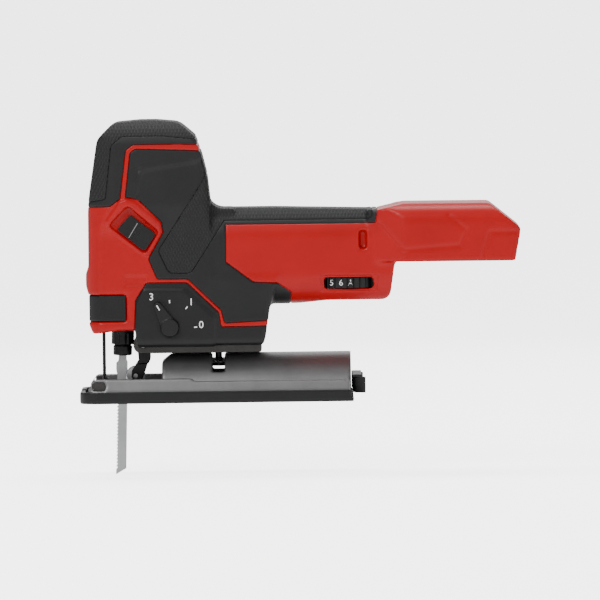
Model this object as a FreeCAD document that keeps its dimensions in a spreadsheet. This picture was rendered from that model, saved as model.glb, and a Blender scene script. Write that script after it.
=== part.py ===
import FreeCAD, Part
import math
import os

from fcgear import fcgear, involute

# Cordless barrel-grip jigsaw, bare of its battery.
# Frame: millimetres, +Z up, -X to the front (cutting direction), +Y to the far side.
# The origin is the point where the blade's centre line crosses the sole.

V = FreeCAD.Vector
PARTS = "parts"

# ------------------------------------------------------------------ driving dimensions
DIMENSIONS = {
    # casing
    "wall": 2.5,
    "skin": 1.2,
    "head_half_width": 35.0,
    "barrel_half_width": 30.5,
    "hood_half_width": 39.0,
    "lower_half_width": 31.0,
    "saddle_half_width": 24.0,
    "motor_height": 104.0,
    # drive
    "stroke": 25.4,
    "rest_drop": 5.7,
    "gear_module": 0.8,
    "pinion_teeth": 11.0,
    "gear_teeth": 69.0,
    "mesh_play": 0.2,
    "gear_face": 7.0,
    "gear_front": 21.0,
    "axle_radius": 5.0,
    "running_play": 0.05,
    "shaft_radius": 2.5,
    "rotor_radius": 14.5,
    "stator_radius": 25.0,
    "stator_bore": 15.0,
    # plunger and blade
    "blade_lean": 1.5,
    "rod_radius": 5.0,
    "clamp_radius": 6.8,
    "collar_radius": 8.1,
    "blade_width": 7.4,
    "blade_thickness": 1.3,
    "frame_pivot_height": 162.0,
    # orbital guide
    "fork_x": 15.8,
    "fork_z": 40.9,
    "roller_x": 10.1,
    "roller_z": 18.3,
    "roller_radius": 7.0,
    "roller_groove": 5.6,
    # foot
    "bevel_height": 2.0,
    "vault_radius": 32.0,
    "vault_wall": 3.0,
    "shoe_half_width": 42.0,
    "deck_low": 2.5,
    "deck_high": 5.0,
    "slot_x": 70.0,
    "slot_half": 4.3,
    # controls
    "dial_x": 164.0,
    "dial_radius": 27.4,
    "dial_low": 80.4,
    "dial_height": 7.4,
    "orbit_x": 35.6,
    "orbit_z": 54.0,
    "lever_x": 169.8,
    "lever_y": 31.0,
    # electrics
    "board_thickness": 1.6,
}

doc = FreeCAD.newDocument("jigsaw")
sheet = doc.addObject("Spreadsheet::Sheet", "dims")
for row, (alias, value) in enumerate(DIMENSIONS.items(), start=1):
    sheet.set(f"A{row}", alias)
    sheet.set(f"B{row}", str(value))
    sheet.setAlias(f"B{row}", alias)
doc.recompute()


def dim(alias):
    """A driving dimension, read back from the sheet."""
    return float(sheet.get(alias))


nodes = {}


def node(label, obj):
    """Registers obj as the finished sub-part called label."""
    obj.Label = label
    nodes[label] = obj
    return obj


# ------------------------------------------------------------------ sketches and solids
PLANES = {
    "XY": FreeCAD.Rotation(),
    "XZ": FreeCAD.Rotation(V(1, 0, 0), 90),
    "YZ": FreeCAD.Rotation(V(1, 1, 1), 120),
}
NORMALS = {"XY": V(0, 0, 1), "XZ": V(0, 1, 0), "YZ": V(1, 0, 0)}


def corner_arc(before, corner, after, radius):
    """Tangent points and arc that round one corner of a polyline."""
    back = (before - corner).normalize()
    ahead = (after - corner).normalize()
    half = back.getAngle(ahead) / 2
    reach = radius / math.tan(half)
    start, end = corner + back * reach, corner + ahead * reach
    middle_way = (back + ahead).normalize()
    centre = corner + middle_way * (radius / math.sin(half))
    return start, centre - middle_way * radius, end


def outline_edges(points):
    """Line segments and arcs of a closed outline. Each point is (u, v) or (u, v, corner radius)."""
    corners = [V(p[0], p[1], 0) for p in points]
    radii = [p[2] if len(p) > 2 else 0 for p in points]
    count = len(corners)
    starts, ends, arcs = [], [], []
    for i, corner in enumerate(corners):
        before, after = corners[i - 1], corners[(i + 1) % count]
        if radii[i] > 0:
            start, middle, end = corner_arc(before, corner, after, radii[i])
            arcs.append(Part.Arc(start, middle, end))
        else:
            start, end = corner, corner
            arcs.append(None)
        starts.append(start)
        ends.append(end)
    edges = []
    for i in range(count):
        if arcs[i]:
            edges.append(arcs[i])
        a, b = ends[i], starts[(i + 1) % count]
        if a.distanceToPoint(b) > 1e-6:
            edges.append(Part.LineSegment(a, b))
    return edges


def circle(u, v, radius):
    return Part.Circle(V(u, v, 0), V(0, 0, 1), radius)


def sketch(name, plane, outlines, circles=(), offset=0.0):
    """A free sketch on a plane through the origin, moved by offset along the plane's own normal."""
    sk = doc.addObject("Sketcher::SketchObject", name + "_sketch")
    for points in outlines:
        for edge in outline_edges(points):
            sk.addGeometry(edge, False)
    for c in circles:
        sk.addGeometry(circle(*c), False)
    sk.Placement = FreeCAD.Placement(NORMALS[plane] * offset, PLANES[plane])
    return sk


def extrude(name, source, plane, length):
    """Solid made from a sketch. length is millimetres or an expression on the sheet."""
    ex = doc.addObject("Part::Extrusion", name)
    ex.Base = source
    ex.DirMode = "Custom"
    ex.Dir = NORMALS[plane]
    ex.Symmetric = True
    ex.Solid = True
    if isinstance(length, str):
        ex.setExpression("LengthFwd", length)
    else:
        ex.LengthFwd = length
    return ex


def prism(name, plane, points, length, offset=0.0, circles=()):
    return extrude(name, sketch(name, plane, [points], circles, offset), plane, length)


def box(name, low, high):
    b = doc.addObject("Part::Box", name)
    b.Length, b.Width, b.Height = (high[i] - low[i] for i in range(3))
    b.Placement.Base = V(*low)
    return b


AXIS_TURNS = {
    "X": FreeCAD.Rotation(V(0, 1, 0), 90),
    "Y": FreeCAD.Rotation(V(1, 0, 0), -90),
    "Z": FreeCAD.Rotation(),
}


def cylinder(name, axis, at, radius, length):
    """Cylinder from at, along +axis. radius may be an expression on the sheet."""
    c = doc.addObject("Part::Cylinder", name)
    if isinstance(radius, str):
        c.setExpression("Radius", radius)
    else:
        c.Radius = radius
    c.Height = length
    c.Placement = FreeCAD.Placement(V(*at), AXIS_TURNS[axis])
    return c


def fuse(name, *shapes):
    f = doc.addObject("Part::MultiFuse", name)
    f.Shapes = list(shapes)
    return f


def common(name, *shapes):
    f = doc.addObject("Part::MultiCommon", name)
    f.Shapes = list(shapes)
    return f


def cut(name, base, *tools):
    c = doc.addObject("Part::Cut", name)
    c.Base = base
    c.Tool = tools[0] if len(tools) == 1 else fuse(name + "_tools", *tools)
    return c


def cut_in_turn(name, base, *tools):
    """base less each tool, taken away one after another."""
    for n, tool in enumerate(tools, start=1):
        base = cut(f"{name}_{n}", base, tool)
    return base


def body_plane(body, role):
    return next(f for f in body.Origin.OriginFeatures if f.Role == role)


ROLES = {"XY": "XY_Plane", "XZ": "XZ_Plane", "YZ": "YZ_Plane"}


def body_sketch(body, name, plane, outlines, circles=()):
    sk = body.newObject("Sketcher::SketchObject", name)
    sk.AttachmentSupport = (body_plane(body, ROLES[plane]), [""])
    sk.MapMode = "FlatFace"
    for points in outlines:
        for edge in outline_edges(points):
            sk.addGeometry(edge, False)
    for c in circles:
        sk.addGeometry(circle(*c), False)
    return sk


def plate(label, plane, points, thickness, at=(0, 0, 0), holes=()):
    """A PartDesign body: one padded outline, centred on its plane, with round holes."""
    body = doc.addObject("PartDesign::Body", label + "_body")
    sk = body_sketch(body, label + "_outline", plane, [points], holes)
    pad = body.newObject("PartDesign::Pad", label + "_pad")
    pad.Profile = sk
    pad.Midplane = True
    if isinstance(thickness, str):
        pad.setExpression("Length", thickness)
    else:
        pad.Length = thickness
    body.Placement.Base = V(*at)
    return body


def turned(label, profile, axis="Z", at=(0, 0, 0)):
    """A PartDesign body: a half profile of (radius, height) points revolved about its own Z."""
    body = doc.addObject("PartDesign::Body", label + "_body")
    sk = body_sketch(body, label + "_profile", "XZ", [profile])
    turn = body.newObject("PartDesign::Revolution", label + "_turn")
    turn.Profile = sk
    turn.ReferenceAxis = (sk, ["V_Axis"])
    turn.Angle = 360
    body.Placement = FreeCAD.Placement(V(*at), AXIS_TURNS[axis])
    return body


def ring(label, outer, inner, length, axis, at):
    return turned(label, [(inner, 0), (outer, 0), (outer, length), (inner, length)], axis, at)


LEAN = FreeCAD.Placement(V(0, 0, 0), FreeCAD.Rotation(V(0, 1, 0), dim("blade_lean")))


def lean(obj):
    """Tips a piece of the plunger line forward at the bottom, about the origin."""
    obj.Placement = LEAN.multiply(obj.Placement)
    return obj


# ------------------------------------------------------------------ side-view outlines (x, z, corner radius)
HEAD = [
    (-19.5, 49.5, 1.5), (-22.5, 56.5, 3), (-22.5, 77, 2), (-24.5, 84, 2), (-24.5, 92.5, 2),
    (-22.5, 98, 3), (-22.3, 138, 30), (-20.8, 150, 40), (-14.8, 189, 10), (-3, 200.5, 12),
    (22, 202.6, 60), (43.5, 200.5, 12), (55, 190.5, 6), (59.5, 177.5, 20), (63, 163.5, 8),
    (65.5, 140, 5), (65.5, 62, 5), (9.5, 52, 2), (-0.5, 52, 1),
]
BARREL_SIDE = [
    (40, 69.2), (127, 69.2, 40), (148, 71.5, 40), (193.5, 71.5, 7), (197.5, 99.2), (207, 99.2),
    (207, 141), (200, 141), (185.5, 136.3, 10), (110, 138.3, 200), (40, 138.3),
]
HOOD = [
    (178, 136.5), (185.5, 136.5, 10), (204, 140.8, 12), (265.5, 140.6, 5), (288, 122.3, 2),
    (283.5, 99.1, 1), (197.5, 99.2, 1), (178, 99.2),
]
LOWER = [
    (10.9, 40.4, 1), (102.5, 40.4, 3), (104.3, 47, 8), (107, 66, 4), (113, 90), (30, 90),
    (19.2, 86.3), (10.9, 73.9),
]
SADDLE = [(60, 130), (60, 152, 3), (63.2, 152), (63.2, 138.3, 12), (82, 138.3), (82, 130)]

GRIP = [
    (4.9, 147.5), (8.6, 179.5, 2), (12.4, 182.2, 2), (75, 180), (75, 160), (200, 160),
    (185.6, 140), (183.8, 127.1, 2), (76.4, 127.1, 1), (76.2, 100.4, 1), (96, 85.7, 1), (112.7, 85, 1),
    (122.4, 78.3, 1), (122.4, 60), (106, 58), (74.7, 56.4, 1), (72.5, 65.7, 1), (48.9, 88.5, 1),
    (26.9, 88.6, 2), (20.8, 103.2, 1), (31.5, 122, 3), (30.4, 129.6, 3), (13.5, 146.2, 3),
]
CAP = [
    (-45, 140.3), (-6.2, 141.1), (1.2, 146.5), (5.6, 181.3), (10.9, 185.3), (38, 185.3),
    (75, 184.6), (75, 220), (-45, 220),
]
COVER = [
    (9, 36), (11.3, 74, 1), (19.2, 86.2, 1), (48.3, 86, 1), (70.8, 64.4, 1), (72.3, 54, 2), (120, 54.2),
    (120, 36),
]
STUD_PLACE, STUD_RADIUS = (16.0, 121.0), 2.4
SWITCH_RECESS = [
    (-7.5, 127.5, 3), (6.5, 142.5, 4), (28.6, 123, 3), (18.5, 106.6, 3),
]


def line_crossing(a, b, c, d):
    """Where the line through a and b meets the line through c and d."""
    along, other = b - a, d - c
    share = ((c.x - a.x) * other.y - (c.y - a.y) * other.x) / (along.x * other.y - along.y * other.x)
    return a + along * share


def drawn_in(points, inset):
    """The same outline with every edge moved inwards by inset, and its corner radii to suit."""
    corners = [V(p[0], p[1], 0) for p in points]
    count = len(corners)
    area = sum(corners[i - 1].x * corners[i].y - corners[i].x * corners[i - 1].y for i in range(count))
    inwards = 1 if area > 0 else -1
    moved = []
    for i in range(count):
        a, b = corners[i - 1], corners[i]
        run = (b - a).normalize()
        shift = V(-run.y, run.x, 0) * (inset * inwards)
        moved.append((a + shift, b + shift))
    outline = []
    for i in range(count):
        corner = line_crossing(*moved[i], *moved[(i + 1) % count])
        before, after = corners[i] - corners[i - 1], corners[(i + 1) % count] - corners[i]
        convex = (before.x * after.y - before.y * after.x) * inwards > 0
        radius = points[i][2] if len(points[i]) > 2 else 0
        if radius:
            radius = max(radius - inset, 0) if convex else radius + inset
        outline.append((corner.x, corner.y, radius))
    return outline


def side_prism(name, points, inset, width):
    """An outline seen from the side, drawn in by inset, and as wide as the form outside it."""
    sk = sketch(name, "XZ", [drawn_in(points, inset)])
    return extrude(name, sk, "XZ", f"2 * dims.{width}")


def head_form(name, inset):
    """The tall head, or the same form drawn in by inset all round."""
    i, hw = inset, dim("head_half_width")
    return common(
        name + "_head",
        side_prism(name + "_head_side", HEAD, i, "head_half_width"),
        prism(name + "_head_top", "XY",
              [(-26 + i, -hw + i, 25), (67 - i, -hw + i, 8),
               (67 - i, hw - i, 8), (-26 + i, hw - i, 25)], 500),
        prism(name + "_head_front", "YZ",
              [(-31 + i, 40), (-31 + i, 120, 30), (-hw + i, 142, 30), (-hw + i, 202.6 - i, 19),
               (hw - i, 202.6 - i, 19), (hw - i, 142, 30), (31 - i, 120, 30), (31 - i, 40)], 500),
    )


def envelope(name, inset, fillet=True):
    """The casing's whole outer form, or the same form drawn in by inset all round."""
    i = inset
    bw, fw, lw = (dim(k + "_half_width") for k in ("barrel", "hood", "lower"))
    head = head_form(name, i)
    barrel = common(
        name + "_barrel",
        side_prism(name + "_barrel_side", BARREL_SIDE, i, "barrel_half_width"),
        prism(name + "_barrel_front", "YZ",
              [(-bw + i, 69.2 + i, 22), (bw - i, 69.2 + i, 22),
               (bw - i, 141 - i, 24), (-bw + i, 141 - i, 24)], 500),
    )
    hood = common(
        name + "_hood",
        side_prism(name + "_hood_side", HOOD, i, "hood_half_width"),
        prism(name + "_hood_front", "YZ",
              [(-fw + i, 90), (fw - i, 90), (fw - i, 141 - i, 14), (-fw + i, 141 - i, 14)], 700),
        prism(name + "_hood_top", "XY",
              [(177, -bw + 2 + i, 2), (204, -fw + i, 20), (289 - i, -fw + i, 4), (289 - i, fw - i, 4),
               (204, fw - i, 20), (177, bw - 2 - i, 2)], 500),
    )
    lower = common(
        name + "_lower",
        side_prism(name + "_lower_side", LOWER, i, "lower_half_width"),
        prism(name + "_lower_front", "YZ",
              [(-lw + i, 40.4 + i, 4), (lw - i, 40.4 + i, 4), (lw - i, 95), (-lw + i, 95)], 500),
    )
    pieces = [head, barrel, hood, lower]
    if fillet:
        pieces.append(side_prism(name + "_saddle", SADDLE, i, "saddle_half_width"))
    return fuse(name, *pieces)


# ------------------------------------------------------------------ casing
SCREW_PLACES = [(-16.6, 104), (50, 172), (60, 78), (96, 49.0), (140, 128), (152, 75.6), (186, 130)]
SCREW_FLOOR = 22.0

form = envelope("form", 0)
form_skin = envelope("form_skin", dim("skin"))
form_inside = envelope("form_inside", dim("wall"), fillet=False)
head_recess = head_form("recess", 4.0)
lever_outside = head_form("lever_outside", 0.3)
lever_inside = head_form("lever_inside", 3.4)

skin = cut("skin_layer", form, form_skin)


def region(name, points):
    """The casing's skin inside an outline seen from the side, on both sides."""
    return common(name, skin, prism(name + "_prism", "XZ", points, 120))


def left_half(name, shape):
    return common(name, shape, box(name + "_half", (-60, -60, 0), (320, 0, 230)))


def right_half(name, shape):
    return common(name, shape, box(name + "_half", (-60, 0, 0), (320, 60, 230)))


grip = region("grip_skin", GRIP)
cap = region("cap_skin", CAP)
cover = region("cover_skin", COVER)
orbit_bore = cylinder("orbit_bore", "Y", (dim("orbit_x"), -60, dim("orbit_z")), 4.85, 50)
fork_slot = box("fork_slot", (7, -10.8, 30), (27, 10.8, 60))
sinks = fuse("screw_sinks", *[
    cylinder(f"boss_sink_{n}", "Y", (x, SCREW_FLOOR, z), 3.0, 60)
    for n, (x, z) in enumerate(SCREW_PLACES)
])
node("front_cap_grip", cap)
node("grip_left", left_half("grip_left_half", grip))
node("grip_right", cut("grip_right_cut", right_half("grip_right_half", grip), sinks))
node("lower_cover_left", cut("cover_left_cut", left_half("cover_left_half", cover), fork_slot, orbit_bore))
node("lower_cover_right", cut("cover_right_cut", right_half("cover_right_half", cover), fork_slot, sinks))

GUARD_X, GUARD_HALF, GUARD_RADIUS, GUARD_TOP = -12.4, 6.0, 1.1, 56.0
LEVER_ZONE_LOW, LEVER_ZONE_HIGH = (-40, -50, 58.6), (4.7, 21.0, 77.6)
RELEASE_X, RELEASE_Y = -18.1, 16.0


def stud_slot(n, y):
    """Slot in the floor of a switch recess for the stud that joins thumb piece and bridge."""
    reach = STUD_RADIUS + 0.5
    x, z = STUD_PLACE
    return prism(f"stud_slot_{n}", "XZ",
                 [(x + 0.3 - reach, z - 0.5 - reach, reach - 0.1), (x + 0.3 + reach, z - 0.5 - reach, reach - 0.1),
                  (x + reach, z + reach, reach - 0.1), (x - 3.6 + reach, z + 3.3 + reach, reach - 0.1),
                  (x - 3.6 - reach, z + 3.3 + reach, reach - 0.1), (x - 3.6 - reach, z + 3.3 - reach, 1)],
                 2, y)


def casing():
    """Both halves of the red casing as one hollow form, before it is split down the middle."""
    cavity = fuse(
        "cavity",
        cut("cavity_main", form_inside,
            box("solid_nose", (-40, -50, 0), (8.5, 50, 79.5)),
            box("bay_wall", (192, -50, 60), (196, 50, 150)),
            box("bay_block", (192, -50, 60), (300, 50, 123.5))),
        box("nose_hollow", (-13, -21, 56), (9, 24, 80)),
        box("nose_bore", (-11.2, -13, 40), (12, 13, 90)),
        *[cylinder(f"guard_bore_{n}", "Z", (GUARD_X, y, 40), GUARD_RADIUS, GUARD_TOP - 40)
          for n, y in enumerate((-GUARD_HALF, GUARD_HALF))],
        fork_slot,
    )
    bay = fuse(
        "bay",
        box("bay_wide", (205, -36, 104.5), (300, 36, 121)),
        box("bay_throat", (199.5, -31, 90), (300, 31, 110)),
        box("terminal_room", (199.5, -20, 104), (206, 20, 121)),
    )
    lever_zone = fuse(
        "lever_zone",
        cut("lever_recess", box("lever_zone_box", LEVER_ZONE_LOW, LEVER_ZONE_HIGH), head_recess),
        cylinder("lever_eye_room", "Z", (RELEASE_X, RELEASE_Y, LEVER_ZONE_LOW[2]), 3.6,
                 LEVER_ZONE_HIGH[2] - LEVER_ZONE_LOW[2]),
        cylinder("lever_pin_bore", "Z", (RELEASE_X, RELEASE_Y, 57.6), 1.5, 21),
    )
    windows = fuse(
        "windows",
        box("dial_window", (146.5, -60, 80), (181.5, 60, 88.2)),
        *[box(f"vent_slot_{n}", (171.8, y, 108.5), (177.4, y + 34.5, 122)) for n, y in enumerate((-60, 25.5))],
        *[prism(f"switch_window_{n}", "XZ", SWITCH_RECESS, 30, y) for n, y in enumerate((-45, 45))],
        *[stud_slot(n, y) for n, y in enumerate((-29.3, 29.3))],
        orbit_bore,
        cylinder("lamp_bore", "Z", (4.5, -19, 40), 2.5, 40),
    )
    bosses = [
        cylinder(f"boss_{n}", "Y", (x, -40, z), 3.6, 80)
        for n, (x, z) in enumerate(SCREW_PLACES)
    ]
    recess_floor = drawn_in(SWITCH_RECESS, -1.2)
    wells = [prism(f"switch_well_{n}", "XZ", recess_floor, 4.5, y) for n, y in enumerate((-31, 31))]
    pockets = [box(f"vent_pocket_{n}", (170.4, y, 107.1), (178.8, y + 6, 123.4)) for n, y in enumerate((-30, 24))]
    rim = common("rim", form, fuse("bosses", *bosses, *wells, *pockets))
    bores = [
        cylinder(f"boss_bore_{n}", "Y", (x, -14, z), 1.7, 60)
        for n, (x, z) in enumerate(SCREW_PLACES)
    ]
    hollow = fuse("hollow", cut("hollow_plain", form, cavity), rim)
    return cut_in_turn("casing", hollow, bay, lever_zone, windows, cap, grip, cover,
                       fuse("screw_room", *bores, sinks))


whole_casing = casing()
node("housing_left", left_half("housing_left_half", whole_casing))
node("housing_right", right_half("housing_right_half", whole_casing))


def casing_screws():
    """Seven pan-head screws that hold the two casing halves together, driven from the far side."""
    screws = []
    for n, (x, z) in enumerate(SCREW_PLACES):
        head = cylinder(f"screw_head_{n}", "Y", (x, SCREW_FLOOR, z), 2.8, 2.2)
        socket = cylinder(f"screw_socket_{n}", "Y", (x, SCREW_FLOOR + 0.8, z), 1.4, 2)
        shank = cylinder(f"screw_shank_{n}", "Y", (x, SCREW_FLOOR - 33, z), 1.65, 34)
        screws.append(cut(f"screw_{n}", fuse(f"screw_blank_{n}", head, shank), socket))
    return screws


# ------------------------------------------------------------------ gear case and drive
MOTOR_Z = dim("motor_height")
PITCH_SUM = dim("gear_module") * (dim("pinion_teeth") + dim("gear_teeth")) / 2
GEAR_Z = MOTOR_Z + PITCH_SUM + dim("mesh_play")
CRANK = dim("stroke") / 2
CRANK_DROP = dim("rest_drop")
CRANK_SIDE = math.sqrt(CRANK ** 2 - CRANK_DROP ** 2)
CRANK_ANGLE = math.degrees(math.atan2(CRANK_SIDE, CRANK_DROP))
PIVOT_Z = dim("frame_pivot_height")
PIVOT_X = PIVOT_Z * math.tan(math.radians(dim("blade_lean")))


def gear_case():
    """Cast frame that carries the motor's front bearing, the gear's axle and the plunger's swinging frame."""
    rear = plate("case_rear", "YZ",
                 [(-27.3, 80, 5), (27.3, 80, 5), (29, 150, 8), (18, 175, 5), (-18, 175, 5), (-29, 150, 8)],
                 4, (40, 0, 0), holes=[(0, MOTOR_Z, 9.5), (0, GEAR_Z, dim("axle_radius"))])
    collar = ring("case_bearing_ring", 12.5, 9.5, 6, "X", (42, 0, MOTOR_Z))
    top = box("case_top", (-3, -19, 170), (42, 19, 174))
    cheeks = [
        box(f"case_cheek_{n}", (PIVOT_X - 6, y, 157.2), (PIVOT_X + 6, y + 4, 172))
        for n, y in enumerate((-19, 15))
    ]
    floor = box("case_floor", (-9, -13, 80), (42, 13, 83.5))
    rod_hole = cylinder("case_rod_hole", "Z", (PIVOT_X, 0, 160), 8.0, 30)
    floor_hole = prism("case_floor_hole", "XY",
                       [(-6.5, -7, 4), (12, -7, 4), (12, 7, 4), (-6.5, 7, 4)], 30, 82)
    pin_holes = cylinder("case_pin_holes", "Y", (PIVOT_X, -25, PIVOT_Z), 3.0, 50)
    blank = fuse("case_blank", rear, collar, top, *cheeks, floor)
    weight_room = box("case_weight_room", (29.5, -15.8, 165), (36, 15.8, 180))
    return cut("case", blank, rod_hole, floor_hole, pin_holes, weight_room)


node("gear_case", gear_case())
node("gear_axle", turned("gear_axle", [
    (0, 0), (6.6, 0), (6.6, 1.5), (dim("axle_radius"), 1.5), (dim("axle_radius"), 24), (0, 24)],
    "X", (18.9, 0, GEAR_Z)))


def spur_gear(name, teeth, face, at, turn=0.0, holes=()):
    """Involute spur gear whose axis lies along X. turn is its angle about that axis, in degrees."""
    builder = fcgear.FCWireBuilder()
    involute.CreateExternalGear(builder, dim("gear_module"), int(teeth), 20.0, False)
    rim = Part.Wire([e.toShape() for e in builder.wire])
    rings = [Part.Wire(circle(*hole).toShape()) for hole in holes]
    gear = doc.addObject("Part::Feature", name)
    gear.Shape = Part.Face([rim, *rings], "Part::FaceMakerBullseye").extrude(V(0, 0, face))
    spin = FreeCAD.Rotation(V(0, 0, 1), turn)
    gear.Placement = FreeCAD.Placement(V(*at), AXIS_TURNS["X"].multiply(spin))
    return gear


def drive_gear():
    """Large gear that runs on the axle, with five lightening holes."""
    bore = (0, 0, dim("axle_radius") + dim("running_play"))
    reach = 17.5
    holes = [
        (reach * math.cos(math.radians(a)), reach * math.sin(math.radians(a)), 4.0)
        for a in (CRANK_ANGLE + 60 * k for k in range(1, 6))
    ]
    at = (dim("gear_front"), 0, GEAR_Z)
    return spur_gear("drive_gear_solid", dim("gear_teeth"), dim("gear_face"), at, 0, [bore, *holes])


node("drive_gear", drive_gear())
node("eccentric_pin", turned(
    "eccentric_pin",
    [(0, 0), (3.4, 0), (4, 0.6), (4, 7), (5.5, 7), (5.5, 9.0), (0, 9.0)],
    "X", (12.0, CRANK_SIDE, GEAR_Z - CRANK_DROP)))

node("pinion", spur_gear("pinion_gear", dim("pinion_teeth"), 9.0, (20, 0, MOTOR_Z), 0,
                         [(0, 0, dim("shaft_radius"))]))
node("rotor_shaft", turned("rotor_shaft", [
    (0, 0), (dim("shaft_radius"), 0), (dim("shaft_radius"), 78), (4, 78), (4, 112), (2.5, 112), (2.5, 128),
    (0, 128)], "X", (19, 0, MOTOR_Z)))


def rotor():
    """Laminated rotor core with slots for its magnets."""
    core = ring("rotor_core", dim("rotor_radius"), 4.0, 30, "X", (99, 0, MOTOR_Z))
    slots = []
    for k in range(8):
        a = math.radians(45 * k)
        slot = box(f"magnet_slot_{k}", (-20, -4.2, 11.2), (20, 4.2, 12.6))
        slot.Placement = FreeCAD.Placement(V(114, 0, MOTOR_Z), FreeCAD.Rotation(V(1, 0, 0), math.degrees(a)))
        slot.Placement = slot.Placement.multiply(FreeCAD.Placement(V(-20, -4.2, 11.2), FreeCAD.Rotation()))
        slots.append(slot)
    return cut("rotor_cut", core, *slots)


node("rotor", rotor())


def stator():
    """Stator stack with six wound poles."""
    stack = ring("stator_stack", dim("stator_radius"), 21.5, 30, "X", (99, 0, MOTOR_Z))
    poles = []
    for k in range(6):
        pole = box(f"pole_{k}", (0, -4.5, dim("stator_bore") + 0.3), (30, 4.5, 22.5))
        pole.Placement = FreeCAD.Placement(V(99, 0, MOTOR_Z), FreeCAD.Rotation(V(1, 0, 0), 60 * k)).multiply(
            pole.Placement)
        poles.append(pole)
    return fuse("stator_fuse", stack, *poles)


node("motor_stator", stator())


def windings():
    """One copper coil round each pole."""
    coils = []
    for k in range(6):
        outer = box(f"coil_outer_{k}", (-4, -7.5, 15.6), (34, 7.5, 19.9))
        inner = box(f"coil_inner_{k}", (0, -4.5, 15), (30, 4.5, 23))
        coil = cut(f"coil_{k}", outer, inner)
        coil.Placement = FreeCAD.Placement(V(99, 0, MOTOR_Z), FreeCAD.Rotation(V(1, 0, 0), 60 * k))
        coils.append(coil)
    return fuse("windings_fuse", *coils)


node("motor_windings", windings())


def fan():
    """Cooling fan: a disc with twelve blades."""
    disc = ring("fan_disc", 22, 2.5, 2, "X", (85, 0, MOTOR_Z))
    hub = ring("fan_hub", 6, 2.5, 8, "X", (85, 0, MOTOR_Z))
    blades = []
    for k in range(12):
        blade = box(f"fan_blade_{k}", (1.9, -0.6, 9), (8, 0.6, 21.5))
        blade.Placement = FreeCAD.Placement(V(85, 0, MOTOR_Z), FreeCAD.Rotation(V(1, 0, 0), 30 * k)).multiply(
            blade.Placement)
        blades.append(blade)
    return fuse("fan_fuse", disc, hub, *blades)


node("cooling_fan", fan())
node("front_motor_bearing", ring("front_motor_bearing", 9.5, dim("shaft_radius") + 0.05, 6, "X",
                                 (38.5, 0, MOTOR_Z)))
node("rear_motor_bearing", ring("rear_motor_bearing", 8.0, dim("shaft_radius") + 0.05, 5, "X",
                                (139.5, 0, MOTOR_Z)))
node("rear_bearing_plate", plate(
    "rear_bearing_plate", "YZ", [(-27.5, 92, 8), (27.5, 92, 8), (27.5, 116, 8), (-27.5, 116, 8)], 5,
    (142, 0, 0), holes=[(0, MOTOR_Z, 8.0)]))
node("counterweight", plate(
    "counterweight", "YZ",
    [(-15, 112, 3), (-6.5, 112), (-6.5, 155, 6), (6.5, 155, 6), (6.5, 112), (15, 112, 3), (15, 165, 6),
     (-15, 165, 6)], 4, (32.5, 0, CRANK_DROP)))

# ------------------------------------------------------------------ swinging guide frame


def guide_frame():
    """Frame that holds both plunger bushes and swings about the pin through its top."""
    upper = box("frame_upper", (-9, -11, 157.6), (10, 11, 168))
    lower = box("frame_lower", (-9, -11, 85), (10, 11, 100))
    strap = box("frame_strap", (-13, -9, 85), (-9, 9, 168))
    bore = cylinder("frame_bore", "Z", (0, 0, 80), 7.5, 100)
    along = PIVOT_Z / math.cos(math.radians(dim("blade_lean")))
    pivot = cylinder("frame_pivot_bore", "Y", (0, -20, along), 3.0, 40)
    return lean(cut("frame_cut", fuse("frame_blank", upper, lower, strap), bore, pivot))


node("guide_frame", guide_frame())
node("frame_pivot_pins", cut(
    "pivot_pins_cut",
    cylinder("pivot_pins", "Y", (PIVOT_X, -18.5, PIVOT_Z), 2.95, 37),
    box("pivot_pins_gap", (PIVOT_X - 5, -8.2, PIVOT_Z - 5), (PIVOT_X + 5, 8.2, PIVOT_Z + 5))))
for bush, low, length in (("upper_bush", 157.6, 10.4), ("lower_bush", 85, 15)):
    node(bush, lean(ring(bush, 7.5, dim("rod_radius") + dim("running_play"), length, "Z", (0, 0, low))))

# ------------------------------------------------------------------ plunger line
node("plunger_rod", lean(turned("plunger_rod", [
    (0, 52.5), (dim("rod_radius"), 52.5), (dim("rod_radius"), 175.5), (4, 176.5), (0, 176.5)])))


def scotch_yoke():
    """Cross head with a level slot for the crank pin, clamped on the rod."""
    middle = GEAR_Z - CRANK_DROP
    block = box("yoke_block", (-6.5, -20, middle - 7.1), (7.2, 20, middle + 7.1))
    slot = box("yoke_slot", (2.0, -17, middle - 4.1), (8, 17, middle + 4.1))
    bore = cylinder("yoke_bore", "Z", (0, 0, middle - 20), "dims.rod_radius", 40)
    relief = fuse("yoke_relief", box("yoke_relief_a", (-8, -21, middle - 8), (-3, -9, middle + 8)),
                  box("yoke_relief_b", (-8, 9, middle - 8), (-3, 21, middle + 8)))
    return lean(cut("yoke_cut", block, slot, bore, relief))


node("scotch_yoke", scotch_yoke())


def clamp_body():
    """Blade holder on the rod's lower end, with a slot for a lugged shank."""
    blank = turned("clamp_blank", [
        (0, 33), (6.2, 33), (dim("clamp_radius"), 33.7), (dim("clamp_radius"), 39.6), (6.0, 40.2),
        (6.0, 57.7), (7.6, 58.1), (7.6, 60.5), (5.6, 62.5), (0, 62.5)])
    rod_socket = cylinder("clamp_socket", "Z", (0, 0, 52.5), "dims.rod_radius", 20)
    slot = box("clamp_slot", (-5.7, -0.95, 32), (5.7, 0.95, 50.5))
    mouth = prism("clamp_mouth", "XZ", [(-4.2, 31), (4.2, 31), (3.9, 35.5), (-3.9, 35.5)], 4.4)
    return lean(cut("clamp_cut", blank, rod_socket, slot, mouth))


node("clamp_body", clamp_body())


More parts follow.
